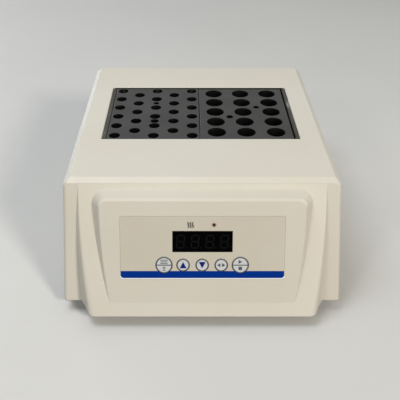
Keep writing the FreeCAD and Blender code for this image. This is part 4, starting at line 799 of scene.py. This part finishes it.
def print_digits(finishes):
    """The unlit digits, which show faintly on the window's face."""
    low, high = panel_box("display_window")
    middle = (low + high) / 2
    wide, tall = DIGIT_WIDE - SEGMENT_WIDE, DIGIT_TALL - SEGMENT_WIDE
    last_turn = FULL_TURN - FULL_TURN / POINT_SIDES
    outlines = []
    for digit in range(DIGITS):
        x = (digit - (DIGITS - 1) / 2) * DIGIT_PITCH
        outlines += [segment(x, tall / 2 * row, wide, False) for row in (-1, 0, 1)]
        outlines += [segment(x + side * wide / 2, row * tall / 4, tall / 2, True)
                     for side in (-1, 1) for row in (-1, 1)]
        point_x = x + wide / 2 + POINT_AWAY
        outlines.append(arc(point_x, -tall / 2, POINT_RADIUS, 0, last_turn, POINT_SIDES - 1))
    bm = bmesh.new()
    for outline in outlines:
        slanted = [(middle.x + x + DIGIT_SLANT * y, middle.y + y) for x, y in outline]
        ink_patch(bm, slanted, high.z + INK_REST)
    keep_piece(bm, "window_digits", PANEL, finishes["digit"], "unit")


def print_rocker(finishes):
    """A bar and a ring on the two ends of the mains rocker, each laid on the face behind it."""
    rocker = frame["nodes"]["power_rocker"]
    low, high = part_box("power_rocker")
    middle = (low + high) / 2
    bm = bmesh.new()
    for rise in (ROCKER_MARK_RISE, -ROCKER_MARK_RISE):
        behind = Vector((middle.x, high.y + FAR_BEHIND, middle.z + rise))
        _, spot, normal, _ = rocker.ray_cast(behind, FORWARD)
        up = normal.cross(RIGHT_FROM_BEHIND)
        place = Matrix((RIGHT_FROM_BEHIND, up, normal)).transposed().to_4x4()
        place.translation = spot
        mark = bmesh.new()
        if rise > 0:
            ink_patch(mark, bar(0, 0, ROCKER_MARK_STROKE, ROCKER_MARK_TALL), INK_REST)
        else:
            outer = ROCKER_MARK_TALL / 2
            ink_ring(mark, 0, 0, INK_REST, outer - ROCKER_MARK_STROKE, outer)
        bmesh.ops.transform(mark, matrix=place, verts=mark.verts)
        loose = bpy.data.meshes.new("mark")
        mark.to_mesh(loose)
        mark.free()
        bm.from_mesh(loose)
        bpy.data.meshes.remove(loose)
    keep_piece(bm, "rocker_marks", AS_DRAWN, finishes["mark"], "power_rocker")


def line_well(finishes):
    """Near-black strips of painted shade that darken the gap before and behind the blocks."""
    bm = bmesh.new()
    for y in SHADE_STRIP_LINES_Y:
        add_box(bm, Vector((-SHADE_STRIP_HALF, y - SHADE_STRIP_THICK / 2, SHADE_STRIP_LOW)),
                Vector((SHADE_STRIP_HALF, y + SHADE_STRIP_THICK / 2, SHADE_STRIP_HIGH)))
    keep_piece(bm, "well_shade_strip", AS_DRAWN, finishes["shade_strip"], "unit")


def close_block(finishes):
    """A near-black liner of painted shade and a thin skin on the left block's back face, which shut the back row
    of its wells.
    """
    low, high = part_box("block_left")
    # Painted shade: the liner is near black so that the closed wells read as shaded deep inside
    liner = moulded("painted_bore_shade", *BORE_SHADE_BLACK, roughness=0.8)
    skin = finishes["anodised_block"]
    skin_rest = BLOCK_LINER_THICK + BLOCK_SKIN_REST
    layers = (("block_left_liner", liner, BLOCK_SKIN_REST, BLOCK_LINER_THICK),
              ("block_left_skin", skin, skin_rest, BLOCK_SKIN_THICK))
    for name, finish, near, far in layers:
        bm = bmesh.new()
        add_box(bm, Vector((low.x, high.y + near, low.z)),
                Vector((high.x, high.y + far, high.z - BLOCK_SKIN_DROP)))
        keep_piece(bm, name, AS_DRAWN, finish, "block_left")


def lay_floor():
    """A plain pale floor under the feet, which throws little light back up at the unit."""
    bm = bmesh.new()
    bmesh.ops.create_grid(bm, x_segments=1, y_segments=1, size=FLOOR_SIZE / 2)
    mesh = bpy.data.meshes.new("floor")
    bm.to_mesh(mesh)
    bm.free()
    finish = Finish("floor_pale", FLOOR_PALE, roughness=0.7)
    finish.drift(FLOOR_SHADE, scale=3, low=0.35, high=0.70)
    finish.wander(scale=40, low=0.64, high=0.76)
    ray = finish.nodes.new("ShaderNodeLightPath")
    finish.tint(ray.outputs["Is Diffuse Ray"], FLOOR_BOUNCE)
    mesh.materials.append(finish.material)
    floor = bpy.data.objects.new("floor", mesh)
    bpy.context.scene.collection.objects.link(floor)


def hang_light(name, place, size, watts, tint):
    """A square soft box aimed at the unit."""
    lamp = bpy.data.lights.new(name, "AREA")
    lamp.size = size
    lamp.color = tint
    lamp.energy = watts
    light = bpy.data.objects.new(name, lamp)
    light.location = place
    light.rotation_euler = (Vector(LIGHT_AIM) - Vector(place)).to_track_quat("-Z", "Y").to_euler()
    bpy.context.scene.collection.objects.link(light)


def light_room():
    """An even sky, paler where it is seen or mirrored than in the light it gives, and four soft boxes."""
    world = bpy.data.worlds.new("room")
    world.use_nodes = True
    nodes, links = world.node_tree.nodes, world.node_tree.links
    sky = nodes["Background"]
    sky.inputs["Color"].default_value = (*SKY_TINT, 1.0)
    ray = nodes.new("ShaderNodeLightPath")
    level = nodes.new("ShaderNodeMapRange")
    level.inputs["To Min"].default_value = SKY_STRENGTH
    level.inputs["To Max"].default_value = MIRRORED_SKY
    seen = nodes.new("ShaderNodeMath")
    seen.operation = "MAXIMUM"
    links.new(ray.outputs["Is Camera Ray"], seen.inputs[0])
    links.new(ray.outputs["Is Glossy Ray"], seen.inputs[1])
    links.new(seen.outputs["Value"], level.inputs["Value"])
    links.new(level.outputs["Result"], sky.inputs["Strength"])
    bpy.context.scene.world = world
    hang_light("ceiling_light", **CEILING_LIGHT)
    hang_light("left_light", **LEFT_LIGHT)
    hang_light("right_light", **RIGHT_LIGHT)
    hang_light("back_light", **BACK_LIGHT)


def set_camera():
    """The camera, level from side to side and pitched down at the unit."""
    lens_data = bpy.data.cameras.new("camera")
    lens_data.lens = CAMERA_LENS
    lens_data.sensor_width = CAMERA_SENSOR
    lens_data.shift_x = CAMERA_SHIFT_X
    camera = bpy.data.objects.new("camera", lens_data)
    camera.location = CAMERA_PLACE
    camera.rotation_euler = (math.radians(90 - CAMERA_PITCH_DOWN), 0, 0)
    bpy.context.scene.collection.objects.link(camera)
    bpy.context.scene.camera = camera


bpy.context.scene.view_settings.view_transform = "Standard"
set_camera()
light_room()
lay_floor()
FINISHES = finishes_by_slot()
dress_nodes(FINISHES)
close_block(FINISHES)
INKS = print_finishes()
for print_part in (print_band, print_keys, print_lamps, print_digits, print_rocker, line_well):
    print_part(INKS)
